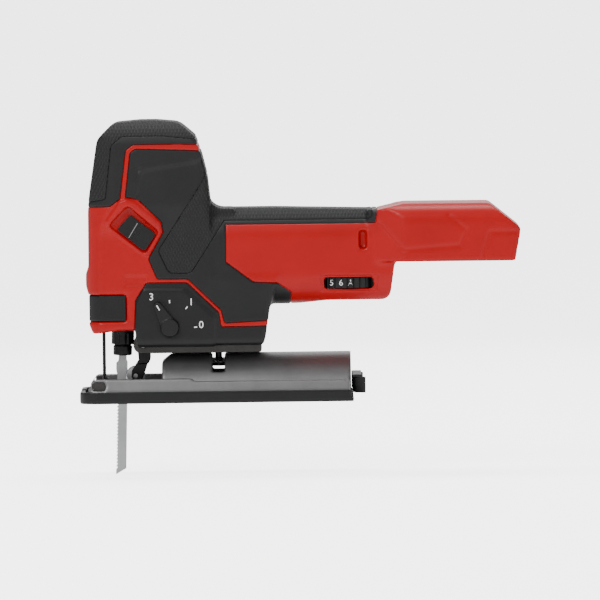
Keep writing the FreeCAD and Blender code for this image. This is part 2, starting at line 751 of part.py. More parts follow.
def clamp_collar():
    """Turning collar that locks the shank, with eight finger flutes and a drive lug."""
    sleeve = ring("collar_sleeve", dim("collar_radius"), 6.3, 14.0, "Z", (0, 0, 40.9))
    flutes = []
    for k in range(8):
        a = math.radians(22.5 + 45 * k)
        flutes.append(cylinder(f"flute_{k}", "Z", (8.8 * math.cos(a), 8.8 * math.sin(a), 40), 1.4, 9))
    lug = box("collar_lug", (-2, 7.0, 50), (2, 10.0, 54))
    return lean(fuse("collar_fuse", cut("collar_cut", sleeve, *flutes), lug))


node("clamp_collar", clamp_collar())
node("collar_spring", lean(ring("collar_spring", 7.4, 6.1, 2.2, "Z", (0, 0, 55.3))))


def blade():
    """Lugged shank, plain neck and a toothed edge that faces forward."""
    half = dim("blade_width") / 2
    pitch, depth = 2.5, 1.15
    points = [(-2.9, 48.5), (-2.9, 47), (-5.2, 46), (-5.2, 43), (-2.9, 42), (-2.9, 30),
              (-3.4, 28.6), (-4.6, 27.5), (-4.6, 22.5, 2), (-3.6, 18), (-half, 16)]
    z = 15.5
    while z - pitch > -51:
        points += [(-half, z), (-half + depth, z - 0.35 * pitch)]
        z -= pitch
    points += [(-half, z), (-half, -53.2, 0.4), (half, -48.6, 0.4), (half, 28), (2.9, 30), (2.9, 42),
               (5.2, 43), (5.2, 46), (2.9, 47), (2.9, 48.5)]
    return lean(plate("blade", "XZ", points, "dims.blade_thickness"))


node("blade", blade())

# ------------------------------------------------------------------ foot bracket, guide fork and roller
FORK_X, FORK_Z = dim("fork_x"), dim("fork_z")
ROLLER_X, ROLLER_Z = dim("roller_x"), dim("roller_z")


def foot_bracket():
    """Steel bracket under the gear housing: two ears for the guide fork and a long flat strap."""
    ear = [(8.8, 34.4, 6), (8.8, 47.4, 6.0), (20.5, 47.4, 4), (24, 40.3, 1), (24, 34.4, 1)]
    ears = cut("bracket_ear_pair",
               prism("bracket_ears", "XZ", ear, 21),
               box("bracket_ear_gap", (0, -7.4, 20), (30, 7.4, 60)),
               cylinder("bracket_ear_bore", "Y", (FORK_X, -20, FORK_Z), 2.5, 40))
    strap = prism("bracket_strap", "XZ", [(22, 34.4), (22, 40.3), (101.2, 40.3), (101.2, 34.4, 2)], 21)
    slot = box("bracket_relief", (20, -7.4, 20), (26, 7.4, 60))
    holes = [cylinder(f"bracket_hole_{n}", "Z", (x, 0, 20), 2.1, 40) for n, x in enumerate(BRACKET_SCREWS)]
    bolt = cylinder("bracket_bolt_hole", "Z", (dim("slot_x"), 0, 20), 2.6, 40)
    sinks = [cylinder(f"bracket_sink_{n}", "Z", (x, 0, 30), 3.8, 6.4) for n, x in enumerate(BRACKET_SCREWS)]
    return cut("bracket_cut", fuse("bracket_blank", ears, strap), slot, bolt, *holes, *sinks)


BRACKET_SCREWS = (34, 52, 92)
node("foot_bracket", foot_bracket())


def bracket_screws():
    """Three countersunk screws up into the housing."""
    profile = [(0, 34.6), (3.6, 34.6), (3.6, 36.4), (2.0, 36.4), (2.0, 40.3), (0, 40.3)]
    return [turned(f"bracket_screw_{n}", profile, "Z", (x, 0, 0)) for n, x in enumerate(BRACKET_SCREWS)]


def group(name, pieces):
    """Several loose solids kept as one sub-part."""
    compound = doc.addObject("Part::Compound", name)
    compound.Links = pieces
    return compound


node("screws", group("screw_group", casing_screws() + bracket_screws()))
node("fork_pivot_pin", cylinder("fork_pivot_pin", "Y", (FORK_X, -10.3, FORK_Z), 2.45, 20.6))


def guide_fork():
    """Curved arm on the pivot pin, ending in two cheeks that carry the roller."""
    arm = prism("fork_arm", "XZ", [
        (10.8, 45.9, 4.8), (20.8, 45.9, 4.8), (21.2, 30, 6), (19.6, 27), (11.8, 27), (12.4, 30, 6)], 13.6)
    cheek_side = [(12.2, 29.4), (19.8, 29.4), (17.6, 22.6, 5), (14.6, 15, 2), (7.0, 15, 3), (7.4, 22, 4)]
    cheeks = [prism(f"fork_cheek_{n}", "XZ", cheek_side, 2.1, y) for n, y in enumerate((-4.55, 4.55))]
    bore = cylinder("fork_bore", "Y", (FORK_X, -10, FORK_Z), 2.5, 20)
    pin = cylinder("fork_pin_bore", "Y", (ROLLER_X, -10, ROLLER_Z), 1.5, 20)
    return cut("fork_cut", fuse("fork_blank", arm, *cheeks), bore, pin)


node("guide_fork", guide_fork())
node("roller_pin", cylinder("roller_pin", "Y", (ROLLER_X, -5.6, ROLLER_Z), 1.5, 11.2))
node("guide_roller", turned("guide_roller", [
    (1.55, -3.1), (6.4, -3.1), (dim("roller_radius"), -2.5), (dim("roller_radius"), -1.2),
    (dim("roller_groove"), -0.95), (dim("roller_groove"), 0.95), (dim("roller_radius"), 1.2),
    (dim("roller_radius"), 2.5), (6.4, 3.1), (1.55, 3.1)], "Y", (ROLLER_X, 0, ROLLER_Z)))

# ------------------------------------------------------------------ shoe
VAULT = dim("vault_radius")
BEVEL_Z = dim("bevel_height")
BEVEL_SLOT_REACH = 52.0
VAULT_IN = VAULT - dim("vault_wall")
SHOE_FRONT, SHOE_REAR = -25.5, 165.0
BIG = 400


def sole_outline(front, rear, half, corner):
    return [(front, -half, corner), (rear, -half, 2), (rear, half, 2), (front, half, corner)]


def blade_gap(name, narrow, wide, low, high, back=25.0):
    """Open slot from the front edge, wider round the blade and roller."""
    points = [(-60, -narrow), (-9, -narrow, 1), (-9, -wide, 3), (back, -wide, 8),
              (back, wide, 8), (-9, wide, 3), (-9, narrow, 1), (-60, narrow)]
    return prism(name, "XY", points, high - low, (high + low) / 2)


LEVER_X, LEVER_Y = dim("lever_x"), dim("lever_y")


def shoe_plate():
    """Die-cast shoe: deck, two sloping rails, and the vault that the bevel turns on."""
    deck = prism("shoe_deck", "XY", sole_outline(SHOE_FRONT, SHOE_REAR, 39.8, 9),
                 dim("deck_high") - dim("deck_low"), (dim("deck_high") + dim("deck_low")) / 2)
    rail_section = [(36.2, 3), (34.6, 17.6, 0.8), (37.4, 17.6, 0.8), (39.8, 8.6), (39.8, 3)]
    rail_side = [(SHOE_FRONT, 2), (SHOE_FRONT, 8.6), (-18, 17.7, 2), (50, 17.7, 1),
                 (53.5, 15.4, 1), (165, 15.4), (165, 2)]
    rails = []
    for n, side in enumerate((1, -1)):
        section = [(side * p[0], *p[1:]) for p in rail_section]
        length = SHOE_REAR - SHOE_FRONT
        bar = prism(f"rail_bar_{n}", "YZ", section, length, (SHOE_REAR + SHOE_FRONT) / 2)
        rails.append(bar)
    rails_cut = common("rails_cut", fuse("rails", *rails), prism("rail_side", "XZ", rail_side, 120),
                       prism("rail_top", "XY", sole_outline(SHOE_FRONT, SHOE_REAR, 39.8, 9), 60))
    vault_top, tunnel_top = BEVEL_Z + VAULT, BEVEL_Z + VAULT_IN
    vault_side = [(29.3, 3), (29.3, 28, 1), (36, vault_top, 6), (SHOE_REAR, vault_top), (SHOE_REAR, 3)]
    vault = common("vault", cylinder("vault_out", "X", (20, 0, BEVEL_Z), "dims.vault_radius", 160),
                   prism("vault_side", "XZ", vault_side, 120))
    tunnel = common("tunnel", cylinder("vault_in", "X", (20, 0, BEVEL_Z), VAULT_IN, 160),
                    prism("tunnel_side", "XZ",
                          [(33, 5), (33, 26.5, 1), (38, tunnel_top, 5), (180, tunnel_top), (180, 5)], 120))
    slot = bevel_slot("bevel_slot", dim("slot_half"))
    pocket = fuse("pockets", *[
        box(f"rail_pocket_{n}", (-20.2, y, 9.2), (-11, y + 12, 15.2)) for n, y in enumerate((-45, 33))])
    tab = prism("lever_tab", "XY", [(158, 26.2), (174.2, 26.2, 4), (174.2, 35.8, 4), (158, 35.8)],
                dim("deck_high") - dim("deck_low"), (dim("deck_high") + dim("deck_low")) / 2)
    gap = blade_gap("shoe_gap", 8.5, 15, -5, 30)
    blank = fuse("shoe_blank", deck, rails_cut, vault, tab)
    return cut("shoe_cut", blank, tunnel, slot, pocket, gap,
               cylinder("lever_pin_hole", "Z", (LEVER_X, LEVER_Y, 0), 2.0, 10))


def bevel_slot(name, half):
    """Slot across the top of the vault, long enough for a full bevel either way."""
    reach = BIG * math.sin(math.radians(BEVEL_SLOT_REACH))
    rise = BIG * math.cos(math.radians(BEVEL_SLOT_REACH))
    fan = [(0, BEVEL_Z), (reach, BEVEL_Z + rise), (-reach, BEVEL_Z + rise)]
    return common(name,
                  prism(name + "_wedge", "YZ", fan, 2 * half, dim("slot_x")),
                  cylinder(name + "_ring", "X", (dim("slot_x") - 20, 0, BEVEL_Z), VAULT + 5, 40))


node("shoe_plate", shoe_plate())


def shoe_cover():
    """Clip-on plastic sole that keeps the work from being marked."""
    outer = prism("cover_outer", "XY", sole_outline(-29.5, 167.0, dim("shoe_half_width"), 12), 8.4, 4.2)
    inner = prism("cover_inner", "XY", sole_outline(SHOE_FRONT - 0.1, 180, 39.9, 9), 8.4, 4.2 + 2.4)
    rail = box("cover_rear", (165.2, -60, 2.4), (175, 60, 20))
    sole_gap = blade_gap("cover_gap", 8.5, 12.5, -5, 20, 24)
    return cut("cover_cut", outer, inner, rail, sole_gap)


node("shoe_cover", shoe_cover())
node("blade_insert", cut(
    "insert_cut",
    prism("insert_outline", "XY",
          [(-8.7, -12.3, 2.7), (23.8, -12.3, 7.8), (23.8, 12.3, 7.8), (-8.7, 12.3, 2.7)], 1.7, 0.95),
    box("insert_slit", (-30, -3.6, -5), (8, 3.6, 10))))
node("lever_pin", cylinder("lever_pin", "Z", (LEVER_X, LEVER_Y, 2.5), 2.0, 14.5))


def bevel_lever():
    """Lever across the tail of the shoe that swings out to free the bevel."""
    bar = prism("lever_bar", "XY",
                [(166.4, 30), (166.4, -24, 1), (167.6, -31, 1), (175.2, -34, 1.5),
                 (175.4, -30, 1.5), (170.4, -22, 4), (170.8, 24, 1), (173.4, 31)], 11.4, 11.2)
    eye = cylinder("lever_eye", "Z", (LEVER_X, LEVER_Y, 5.5), 4.2, 11.4)
    lip = prism("lever_lip", "XY", [(165.6, -33), (172.6, -33, 1), (172.6, 24, 1), (165.6, 24)], 1.8, 17.8)
    bore = cylinder("lever_bore", "Z", (LEVER_X, LEVER_Y, 0), 2.1, 30)
    return cut("lever_cut", fuse("lever_blank", bar, eye, lip), bore)


node("bevel_lever", bevel_lever())
node("draw_bar", fuse(
    "draw_bar_fuse",
    cylinder("draw_rod", "X", (84, 0, 9.5), 2.4, 78),
    box("draw_foot", (80, -7, 5.4), (86, 7, 13.6))))
node("bevel_bolt", turned("bevel_bolt", [
    (0, 24.5), (5, 24.5), (5, 28.0), (2.5, 28.0), (2.5, 40.3), (0, 40.3)],
    "Z", (dim("slot_x"), 0, 0)))
node("clamp_washer", cut(
    "washer_cut",
    common("washer_blank",
           ring("washer_ring", VAULT_IN - 0.3, VAULT_IN - 1.8, 18, "X", (dim("slot_x") - 9, 0, BEVEL_Z)),
           prism("washer_wedge", "YZ", [(0, 0), (150, 400), (-150, 400)], 18, dim("slot_x"))),
    cylinder("washer_hole", "Z", (dim("slot_x"), 0, 10), 2.6, 30)))

# ------------------------------------------------------------------ controls


SLIDER_LOW = 30.3


def switch_slider(name, side):
    """Thumb piece of the on-off slide, in its recess."""
    outline = [(-1.5, 124.5, 2), (8.4, 135.2, 2), (26.6, 121.2, 2.5), (18.0, 108.6, 2.5)]
    low, high = SLIDER_LOW, 32.4
    cap_piece = prism(name + "_cap", "XZ", outline, high - low, side * (high + low) / 2)
    ridge = prism(name + "_ridge", "XZ", [(8.2, 117.4), (17.2, 128.2), (19.0, 126.7), (10.0, 115.9)], 1.2,
                  side * (high + 0.6))
    return fuse(name + "_fuse", cap_piece, ridge)


node("switch_slider_left", switch_slider("slider_left", -1))
node("switch_slider_right", switch_slider("slider_right", 1))


def switch_bridge():
    """Inverted U that ties both thumb pieces together over the top of the drive."""
    bridge = prism("bridge_frame", "YZ",
                   [(-27.4, 117), (-25.6, 117), (-25.6, 177.6, 4), (25.6, 177.6, 4), (25.6, 117), (27.4, 117),
                    (27.4, 180, 5), (-27.4, 180, 5)], 5.0, 16.5)
    studs = [
        cylinder(f"bridge_stud_{n}", "Y", (STUD_PLACE[0], y, STUD_PLACE[1]), STUD_RADIUS, SLIDER_LOW - 26.5)
        for n, y in enumerate((-SLIDER_LOW, 26.5))
    ]
    return fuse("bridge_fuse", bridge, *studs)


node("switch_bridge", switch_bridge())
node("switch_module", box("switch_module_box", (43, -12, 144), (58, 12, 160)))
node("dial_axle", turned("dial_axle", [(0, 74.2), (6, 74.2), (6, 76), (3, 76), (3, 92), (0, 92)], "Z",
                         (dim("dial_x"), 0, 0)))


def speed_dial():
    """Thumb wheel with a grooved rim, reached from both sides."""
    grooves, depth = 36, 0.7
    rim = []
    for k in range(grooves):
        for share, radius in ((0.0, dim("dial_radius")), (0.62, dim("dial_radius")),
                              (0.81, dim("dial_radius") - depth)):
            a = 2 * math.pi * (k + share) / grooves
            rim.append((radius * math.cos(a), radius * math.sin(a)))
    middle = dim("dial_low") + dim("dial_height") / 2
    wheel = plate("dial_wheel", "XY", rim, "dims.dial_height", (dim("dial_x"), 0, middle),
                  holes=[(0, 0, 3.1)])
    dish = ring("dial_dish", 21, 8, 3, "Z", (dim("dial_x"), 0, dim("dial_low") + dim("dial_height") - 2.5))
    return cut("dial_cut", wheel, dish)


node("speed_dial", speed_dial())


def orbit_lever():
    """Pointer lever on the left side, set at its strongest orbit."""
    px, pz = dim("orbit_x"), dim("orbit_z")
    hub = cylinder("orbit_hub", "Y", (px, -36.6, pz), 6.2, 5.2)
    arm = prism("orbit_arm", "XZ",
                [(29.6, 54.5, 1), (24.2, 70.6, 2), (28.2, 72.6, 2), (41.0, 56.5, 1)], 4.4, -33.8)
    return fuse("orbit_fuse", hub, arm)


node("orbit_lever", orbit_lever())
node("orbit_cam_shaft", fuse(
    "cam_shaft_fuse",
    cylinder("cam_shaft", "Y", (dim("orbit_x"), -31.4, dim("orbit_z")), 4.8, 20),
    prism("cam_lobe", "XZ", [(29, 50.8, 2), (29, 57.2, 2), (42, 57.2, 2), (42, 50.8, 2)], 10, -6.5)))


def release_lever():
    """Curved lever let into the nose, hinged at its far front corner."""
    low = [LEVER_ZONE_LOW[0], LEVER_ZONE_LOW[1], LEVER_ZONE_LOW[2] + 0.4]
    high = [LEVER_ZONE_HIGH[0] - 0.5, LEVER_ZONE_HIGH[1] - 5.5, LEVER_ZONE_HIGH[2] - 0.4]
    layer = cut("lever_layer", lever_outside, lever_inside)
    strip = common("lever_strip", layer, box("lever_box", low, high))
    eye = cylinder("release_eye", "Z", (RELEASE_X, RELEASE_Y, low[2]), 2.9, high[2] - low[2])
    bore = cylinder("release_bore", "Z", (RELEASE_X, RELEASE_Y, 50), 1.55, 40)
    return cut("release_cut", fuse("release_blank", strip, eye), bore)


node("release_lever", release_lever())
node("release_pin", cylinder("release_pin", "Z", (RELEASE_X, RELEASE_Y, 57.6), 1.5, 21))

# ------------------------------------------------------------------ guard, lamp and electrics


def guard_wire():
    """Bent wire in front of the blade: two legs joined by a level bar at the bottom."""
    half, low, high, bend = GUARD_HALF, 16.2, GUARD_TOP, 2.5
    x = GUARD_X
    mid = bend * (1 - math.sqrt(0.5))
    path = Part.Wire([
        Part.LineSegment(V(x, -half, high), V(x, -half, low + bend)).toShape(),
        Part.Arc(V(x, -half, low + bend), V(x, mid - half, low + mid), V(x, bend - half, low)).toShape(),
        Part.LineSegment(V(x, bend - half, low), V(x, half - bend, low)).toShape(),
        Part.Arc(V(x, half - bend, low), V(x, half - mid, low + mid), V(x, half, low + bend)).toShape(),
        Part.LineSegment(V(x, half, low + bend), V(x, half, high)).toShape(),
    ])
    section = Part.Wire([Part.makeCircle(GUARD_RADIUS, V(x, -half, high), V(0, 0, -1))])
    wire = doc.addObject("Part::Feature", "guard_wire_shape")
    wire.Shape = path.makePipeShell([section], True, True)
    return wire


node("guard_wire", guard_wire())
node("work_lamp", turned("work_lamp", [(0, 52.2), (2.5, 52.2), (2.5, 57), (0, 57)], "Z", (4.5, -19, 0)))
node("control_board", plate(
    "control_board", "XY",
    [(148, -20, 2), (190, -20, 2), (190, 20, 2), (148, 20, 2)],
    "dims.board_thickness", (0, 0, 122)))
node("terminal_block", fuse(
    "terminal_fuse",
    box("terminal_body", (199.7, -20, 107), (216, 20, 120.8)),
    box("terminal_tongue", (216, -17, 113), (226, 17, 120.8))))


def terminal_blades():
    """Five contact blades that reach down from the terminal block."""
    blades = [
        box(f"contact_{n}", (204, y - 0.4, 101), (214, y + 0.4, 107))
        for n, y in enumerate((-15, -7.5, 0, 7.5, 15))
    ]
    return group("contact_group", blades)


node("terminal_blades", terminal_blades())

# ------------------------------------------------------------------ build, test and write
doc.recompute()
failed = [f"{obj.Label} {obj.State}" for obj in doc.Objects if {"Invalid", "Error"} & set(obj.State)]
if failed:
    raise SystemExit("\n".join(["failed objects:", *failed]))
os.makedirs(PARTS, exist_ok=True)
for label, obj in nodes.items():
    shape = obj.Shape
    if shape.isNull() or not shape.isValid() or shape.Volume <= 0:
        raise SystemExit(f"{label} has no sound shape")
    shape.exportStep(os.path.join(PARTS, label + ".step"))
    bounds = shape.BoundBox
    print(f"{label:22s} {len(shape.Solids):3d} solids {shape.Volume:10.1f} mm3  "
          f"x {bounds.XMin:.1f}..{bounds.XMax:.1f}  y {bounds.YMin:.1f}..{bounds.YMax:.1f}  "
          f"z {bounds.ZMin:.1f}..{bounds.ZMax:.1f}")
print(len(nodes), "sub-parts")
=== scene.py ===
import math

import bpy
import numpy as np
from mathutils import Matrix, Vector
from mathutils.bvhtree import BVHTree

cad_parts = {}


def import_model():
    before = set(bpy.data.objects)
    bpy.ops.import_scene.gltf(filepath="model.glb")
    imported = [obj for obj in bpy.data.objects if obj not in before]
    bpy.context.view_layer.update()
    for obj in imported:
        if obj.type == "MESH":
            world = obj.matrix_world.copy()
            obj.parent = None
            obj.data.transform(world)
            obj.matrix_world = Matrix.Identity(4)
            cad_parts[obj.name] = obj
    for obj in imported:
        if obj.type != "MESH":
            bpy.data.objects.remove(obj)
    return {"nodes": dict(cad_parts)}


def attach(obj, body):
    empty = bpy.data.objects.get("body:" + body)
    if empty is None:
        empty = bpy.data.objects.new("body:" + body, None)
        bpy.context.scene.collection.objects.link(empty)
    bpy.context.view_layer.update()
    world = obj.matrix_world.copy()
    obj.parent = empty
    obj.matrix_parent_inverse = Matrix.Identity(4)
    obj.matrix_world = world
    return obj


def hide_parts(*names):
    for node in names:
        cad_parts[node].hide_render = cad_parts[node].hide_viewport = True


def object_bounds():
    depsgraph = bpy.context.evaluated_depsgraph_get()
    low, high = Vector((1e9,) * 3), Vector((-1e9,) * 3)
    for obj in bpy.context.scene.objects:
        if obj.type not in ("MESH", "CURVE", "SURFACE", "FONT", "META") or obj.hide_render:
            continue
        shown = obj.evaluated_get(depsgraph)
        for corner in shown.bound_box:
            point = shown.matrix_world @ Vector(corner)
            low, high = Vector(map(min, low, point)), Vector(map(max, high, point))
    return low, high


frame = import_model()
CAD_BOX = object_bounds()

MM = 0.001
NEAR_ZERO = 1e-4

# -------------------------------------------------------- side outlines, (x, z, corner radius) in mm
# The rubber over the front and top of the head, and the knurled part of it.
CAP = [
    (-45, 140.3), (-6.2, 141.1), (1.2, 146.5), (5.6, 181.3, 3), (10.9, 185.3, 3), (38, 185.3),
    (75, 184.6), (75, 220), (-45, 220),
]
CAP_TEXTURE = [
    (-45, 144.0), (-22, 144.3), (-9.4, 146.3, 2), (-4.9, 184.5, 3), (2.5, 191.0, 3), (31.2, 191.2),
    (54.7, 188.8, 2), (60, 194), (60, 230), (-45, 230),
]
# The rubber over the side of the head and the barrel, and the knurled part of it.
GRIP = [
    (4.9, 147.5), (8.6, 179.5, 3), (12.4, 182.2, 3), (75, 180), (75, 160), (200, 160),
    (185.6, 140), (183.8, 127.1, 2), (76.4, 127.1, 1), (76.2, 100.4, 2), (96, 85.7, 3), (112.7, 85, 3),
    (122.4, 78.3, 2), (122.4, 60), (106, 58), (74.7, 56.4, 3), (72.5, 65.7, 3), (48.9, 88.5, 4),
    (26.9, 88.6, 3), (20.8, 103.2, 2), (31.5, 122, 3), (30.4, 129.6, 4), (13.5, 146.2, 4),
]
GRIP_TEXTURE = [
    (63.2, 162.6), (28.7, 110.5, 2), (28.3, 108.2, 2), (34.3, 94.9, 2), (37.2, 92.8, 2), (49.0, 92.6, 2),
    (52.0, 93.9, 2), (65.4, 114.3), (75.2, 130.0), (178.6, 130.1, 2), (181.1, 131.7, 1), (181.9, 150),
    (90, 150), (80, 165), (66, 168),
]
# The dark cover over the gear case, and its raised face.
COVER = [
    (9, 30), (11.3, 74, 2), (19.2, 86.2, 3), (48.3, 86, 3), (70.8, 64.4, 3), (72.3, 54, 2), (120, 54.2),
    (120, 30),
]
COVER_FACE = [
    (11.7, 30), (12.0, 72.4, 2), (16.9, 81.5, 3), (46.6, 81.1, 3), (68.1, 60.7, 3), (67.8, 30),
]
# The window of the slide switch, and the raised rim round it.
SWITCH_HOLE = [(-7.5, 127.5, 3), (6.5, 142.5, 4), (28.6, 123, 3), (18.5, 106.6, 3)]
SWITCH_FRAME = [
    (5.6, 147.6, 2), (11.5, 146.0, 4), (30.4, 129.6, 4), (31.0, 121.5, 3), (21.2, 104.0, 3),
    (15.4, 106.3, 3), (-10.1, 125.7, 4), (-10.4, 130.9, 3), (-0.3, 145.5, 3),
]
# The recess round the speed dial, and a blank badge recess.
DIAL_FRAME = [(143.2, 90.4, 2), (186.2, 90.4, 2), (184.5, 77.6, 2), (144.5, 77.6, 2)]
BADGE = [(3.5, 91.5, 1), (19.0, 91.5, 1), (19.0, 84, 1), (3.5, 84, 1)]
# Open lines: the upper edge of the hollow in the grip, and the creases pressed into the rear hood.
SCOOP = [(55, 173.6), (19.5, 168.3), (15.6, 165), (12.6, 152)]
HOOD_CREASES = [
    [(186.5, 126.8), (203.7, 107.5), (244.3, 110.4), (248.8, 121.4), (236, 132)],
    [(258.1, 96), (265.1, 119.7), (292, 119.9)],
]


# -------------------------------------------------------- plane geometry
def rounded(points, steps=5):
    """The outline as a closed polyline whose corners are arcs."""
    corners = [np.array(p[:2], float) for p in points]
    line = []
    for i, corner in enumerate(corners):
        radius = points[i][2] if len(points[i]) > 2 else 0
        if not radius:
            line.append(corner)
            continue
        back = corners[i - 1] - corner
        ahead = corners[(i + 1) % len(corners)] - corner
        back, ahead = back / np.linalg.norm(back), ahead / np.linalg.norm(ahead)
        half = math.acos(np.clip(back @ ahead, -1, 1)) / 2
        reach = radius / math.tan(half)
        start, end = corner + back * reach, corner + ahead * reach
        for k in range(steps + 1):
            t = k / steps
            line.append((1 - t) ** 2 * start + 2 * t * (1 - t) * corner + t ** 2 * end)
    return np.array(line)


def distance_to_line(points, line, closed):
    """Distance from each (x, z) point to a polyline."""
    best = np.full(len(points), 1e9)
    count = len(line) if closed else len(line) - 1
    for i in range(count):
        a, b = line[i], line[(i + 1) % len(line)]
        run = b - a
        share = np.clip(((points - a) @ run) / max(run @ run, 1e-12), 0, 1)
        gap = points - a - share[:, None] * run
        best = np.minimum(best, np.einsum("ij,ij->i", gap, gap))
    return np.sqrt(best)


def inside(points, line):
    """Whether each (x, z) point is inside a closed polyline."""
    x, z = points[:, 0], points[:, 1]
    odd = np.zeros(len(points), bool)
    for i in range(len(line)):
        (x1, z1), (x2, z2) = line[i - 1], line[i]
        if z1 == z2:
            continue
        crosses = (z1 > z) != (z2 > z)
        odd ^= crosses & (x < (x2 - x1) * (z - z1) / (z2 - z1) + x1)
    return odd


def depth_in(points, outline):
    """Signed distance to an outline, above zero inside it."""
    line = rounded(outline)
    gap = distance_to_line(points, line, True)
    return np.where(inside(points, line), gap, -gap)


def smooth_step(x):
    """Rises from 0 to 1 as x does, level at both ends."""
    x = np.clip(x, 0, 1)
    return x * x * (3 - 2 * x)


# -------------------------------------------------------- triangle meshes as arrays
def arrays_of(mesh):
    """Vertices in millimetres and triangles of a mesh."""
    verts = np.empty(len(mesh.vertices) * 3)
    mesh.vertices.foreach_get("co", verts)
    mesh.calc_loop_triangles()
    tris = np.empty(len(mesh.loop_triangles) * 3, np.int64)
    mesh.loop_triangles.foreach_get("vertices", tris)
    return verts.reshape(-1, 3) / MM, tris.reshape(-1, 3)


def object_from(name, verts, tris):
    """A smooth-shaded object made from millimetre vertices and triangles."""
    used, tris = np.unique(tris, return_inverse=True)
    tris = tris.reshape(-1, 3)
    mesh = bpy.data.meshes.new(name)
    mesh.vertices.add(len(used))
    mesh.vertices.foreach_set("co", (verts[used] * MM).ravel())
    mesh.loops.add(tris.size)
    mesh.loops.foreach_set("vertex_index", tris.ravel())
    mesh.polygons.add(len(tris))
    mesh.polygons.foreach_set("loop_start", np.arange(0, tris.size, 3))
    mesh.update(calc_edges=True)
    mesh.shade_smooth()
    obj = bpy.data.objects.new(name, mesh)
    bpy.context.collection.objects.link(obj)
    return obj


def normals_of(verts, tris):
    """Vertex normals weighted by the area of the triangles round them."""
    a, b, c = (verts[tris[:, k]] for k in range(3))
    face = np.cross(b - a, c - a)
    total = np.zeros_like(verts)
    for k in range(3):
        for axis in range(3):
            total[:, axis] += np.bincount(tris[:, k], face[:, axis], len(verts))
    return total / np.maximum(np.linalg.norm(total, axis=1), 1e-12)[:, None]


def edge_points(tris, needs_vertex):
    """The distinct edges that need a new vertex, and the number of that edge for each triangle's sides."""
    sides = np.stack([tris[:, [0, 1]], tris[:, [1, 2]], tris[:, [2, 0]]], axis=1)
    sides.sort(axis=2)
    flat = sides.reshape(-1, 2)
    wanted = needs_vertex(flat)
    edges, index = np.unique(flat[wanted], axis=0, return_inverse=True)
    lookup = np.full(len(flat), -1)
    lookup[wanted] = index.ravel()
    return edges, lookup.reshape(-1, 3)


def refine(verts, tris, chosen):
    """Splits each chosen triangle into four."""
    work = tris[chosen]
    edges, side = edge_points(work, lambda flat: np.ones(len(flat), bool))
    middle = len(verts) + side
    verts = np.vstack([verts, verts[edges].mean(axis=1)])
    a, b, c = work.T
    ab, bc, ca = middle.T
    parts = [np.stack(t, axis=1) for t in ((a, ab, ca), (ab, b, bc), (ca, bc, c), (ab, bc, ca))]
    return verts, np.vstack([tris[~chosen], *parts]), chosen.sum() * 4


def cut_at_zero(verts, tris, field, chosen):
    """Splits the chosen triangles along the line where field is zero, so that none lies across it."""
    field = np.where(np.abs(field) < NEAR_ZERO, NEAR_ZERO, field)
    above = field > 0
    across = chosen & (above[tris].any(axis=1)) & (~above[tris]).any(axis=1)
    work = tris[across]
    edges, side = edge_points(work, lambda flat: above[flat[:, 0]] != above[flat[:, 1]])
    f0, f1 = field[edges[:, 0]], field[edges[:, 1]]
    share = (f0 / (f0 - f1))[:, None]
    fresh = verts[edges[:, 0]] * (1 - share) + verts[edges[:, 1]] * share
    number = len(verts) + side
    verts = np.vstack([verts, fresh])
    single = above[work].sum(axis=1) == 1
    lone = above[work] == single[:, None]
    parts = []
    for k in range(3):
        here = lone[:, k]
        a, b, c = (work[here][:, (k + j) % 3] for j in range(3))
        ab, ca = number[here][:, k], number[here][:, (k + 2) % 3]
        parts += [np.stack(t, axis=1) for t in ((a, ab, ca), (ab, b, c), (ab, c, ca))]
    kept = tris[~across]
    flags = np.concatenate([chosen[~across], np.ones(sum(len(p) for p in parts), bool)])
    return verts, np.vstack([kept, *parts]), flags


def joined_copy(name, nodes):
    """One mesh object made of copies of several CAD nodes, with doubled vertices welded."""
    verts, tris, start = [], [], 0
    for node in nodes:
        v, t = arrays_of(frame["nodes"][node].data)
        verts.append(v)
        tris.append(t + start)
        start += len(v)
    verts, tris = np.vstack(verts), np.vstack(tris)
    welded, index = np.unique(np.round(verts, 4), axis=0, return_inverse=True)
    tris = index.ravel()[tris]
    tris = tris[(tris[:, 0] != tris[:, 1]) & (tris[:, 1] != tris[:, 2]) & (tris[:, 2] != tris[:, 0])]
    return object_from(name, welded, tris)


def remeshed(name, nodes, voxel, rounds):
    """A copy of the nodes' solids with evenly sized faces and softly rounded edges."""
    obj = joined_copy(name, nodes)
    cells = obj.modifiers.new("cells", "REMESH")
    cells.mode = "VOXEL"
    cells.voxel_size = voxel * MM
    soften = obj.modifiers.new("soften", "SMOOTH")
    soften.factor = 0.5
    soften.iterations = rounds
    evaluated = obj.evaluated_get(bpy.context.evaluated_depsgraph_get())
    mesh = bpy.data.meshes.new_from_object(evaluated)
    obj.modifiers.clear()
    obj.data = mesh
    mesh.name = name
    mesh.shade_smooth()
    return obj


# -------------------------------------------------------- materials
def new_material(name):
    """A material and the parts of its node tree that the others build on."""
    mat = bpy.data.materials.new(name)
    mat.use_nodes = True
    nodes, links = mat.node_tree.nodes, mat.node_tree.links
    shader = nodes["Principled BSDF"]
    coords = nodes.new("ShaderNodeTexCoord").outputs["Object"]
    return mat, nodes, links, shader, coords


def noise(nodes, links, coords, scale, detail=3.0, rough=0.5, stretch=None):
    """Noise with scale in features per metre. stretch squeezes it along an axis."""
    tex = nodes.new("ShaderNodeTexNoise")
    tex.inputs["Scale"].default_value = scale
    tex.inputs["Detail"].default_value = detail
    tex.inputs["Roughness"].default_value = rough
    if stretch:
        mapping = nodes.new("ShaderNodeMapping")
        mapping.inputs["Scale"].default_value = stretch
        links.new(coords, mapping.inputs["Vector"])
        coords = mapping.outputs["Vector"]
    links.new(coords, tex.inputs["Vector"])
    return tex.outputs["Fac"]


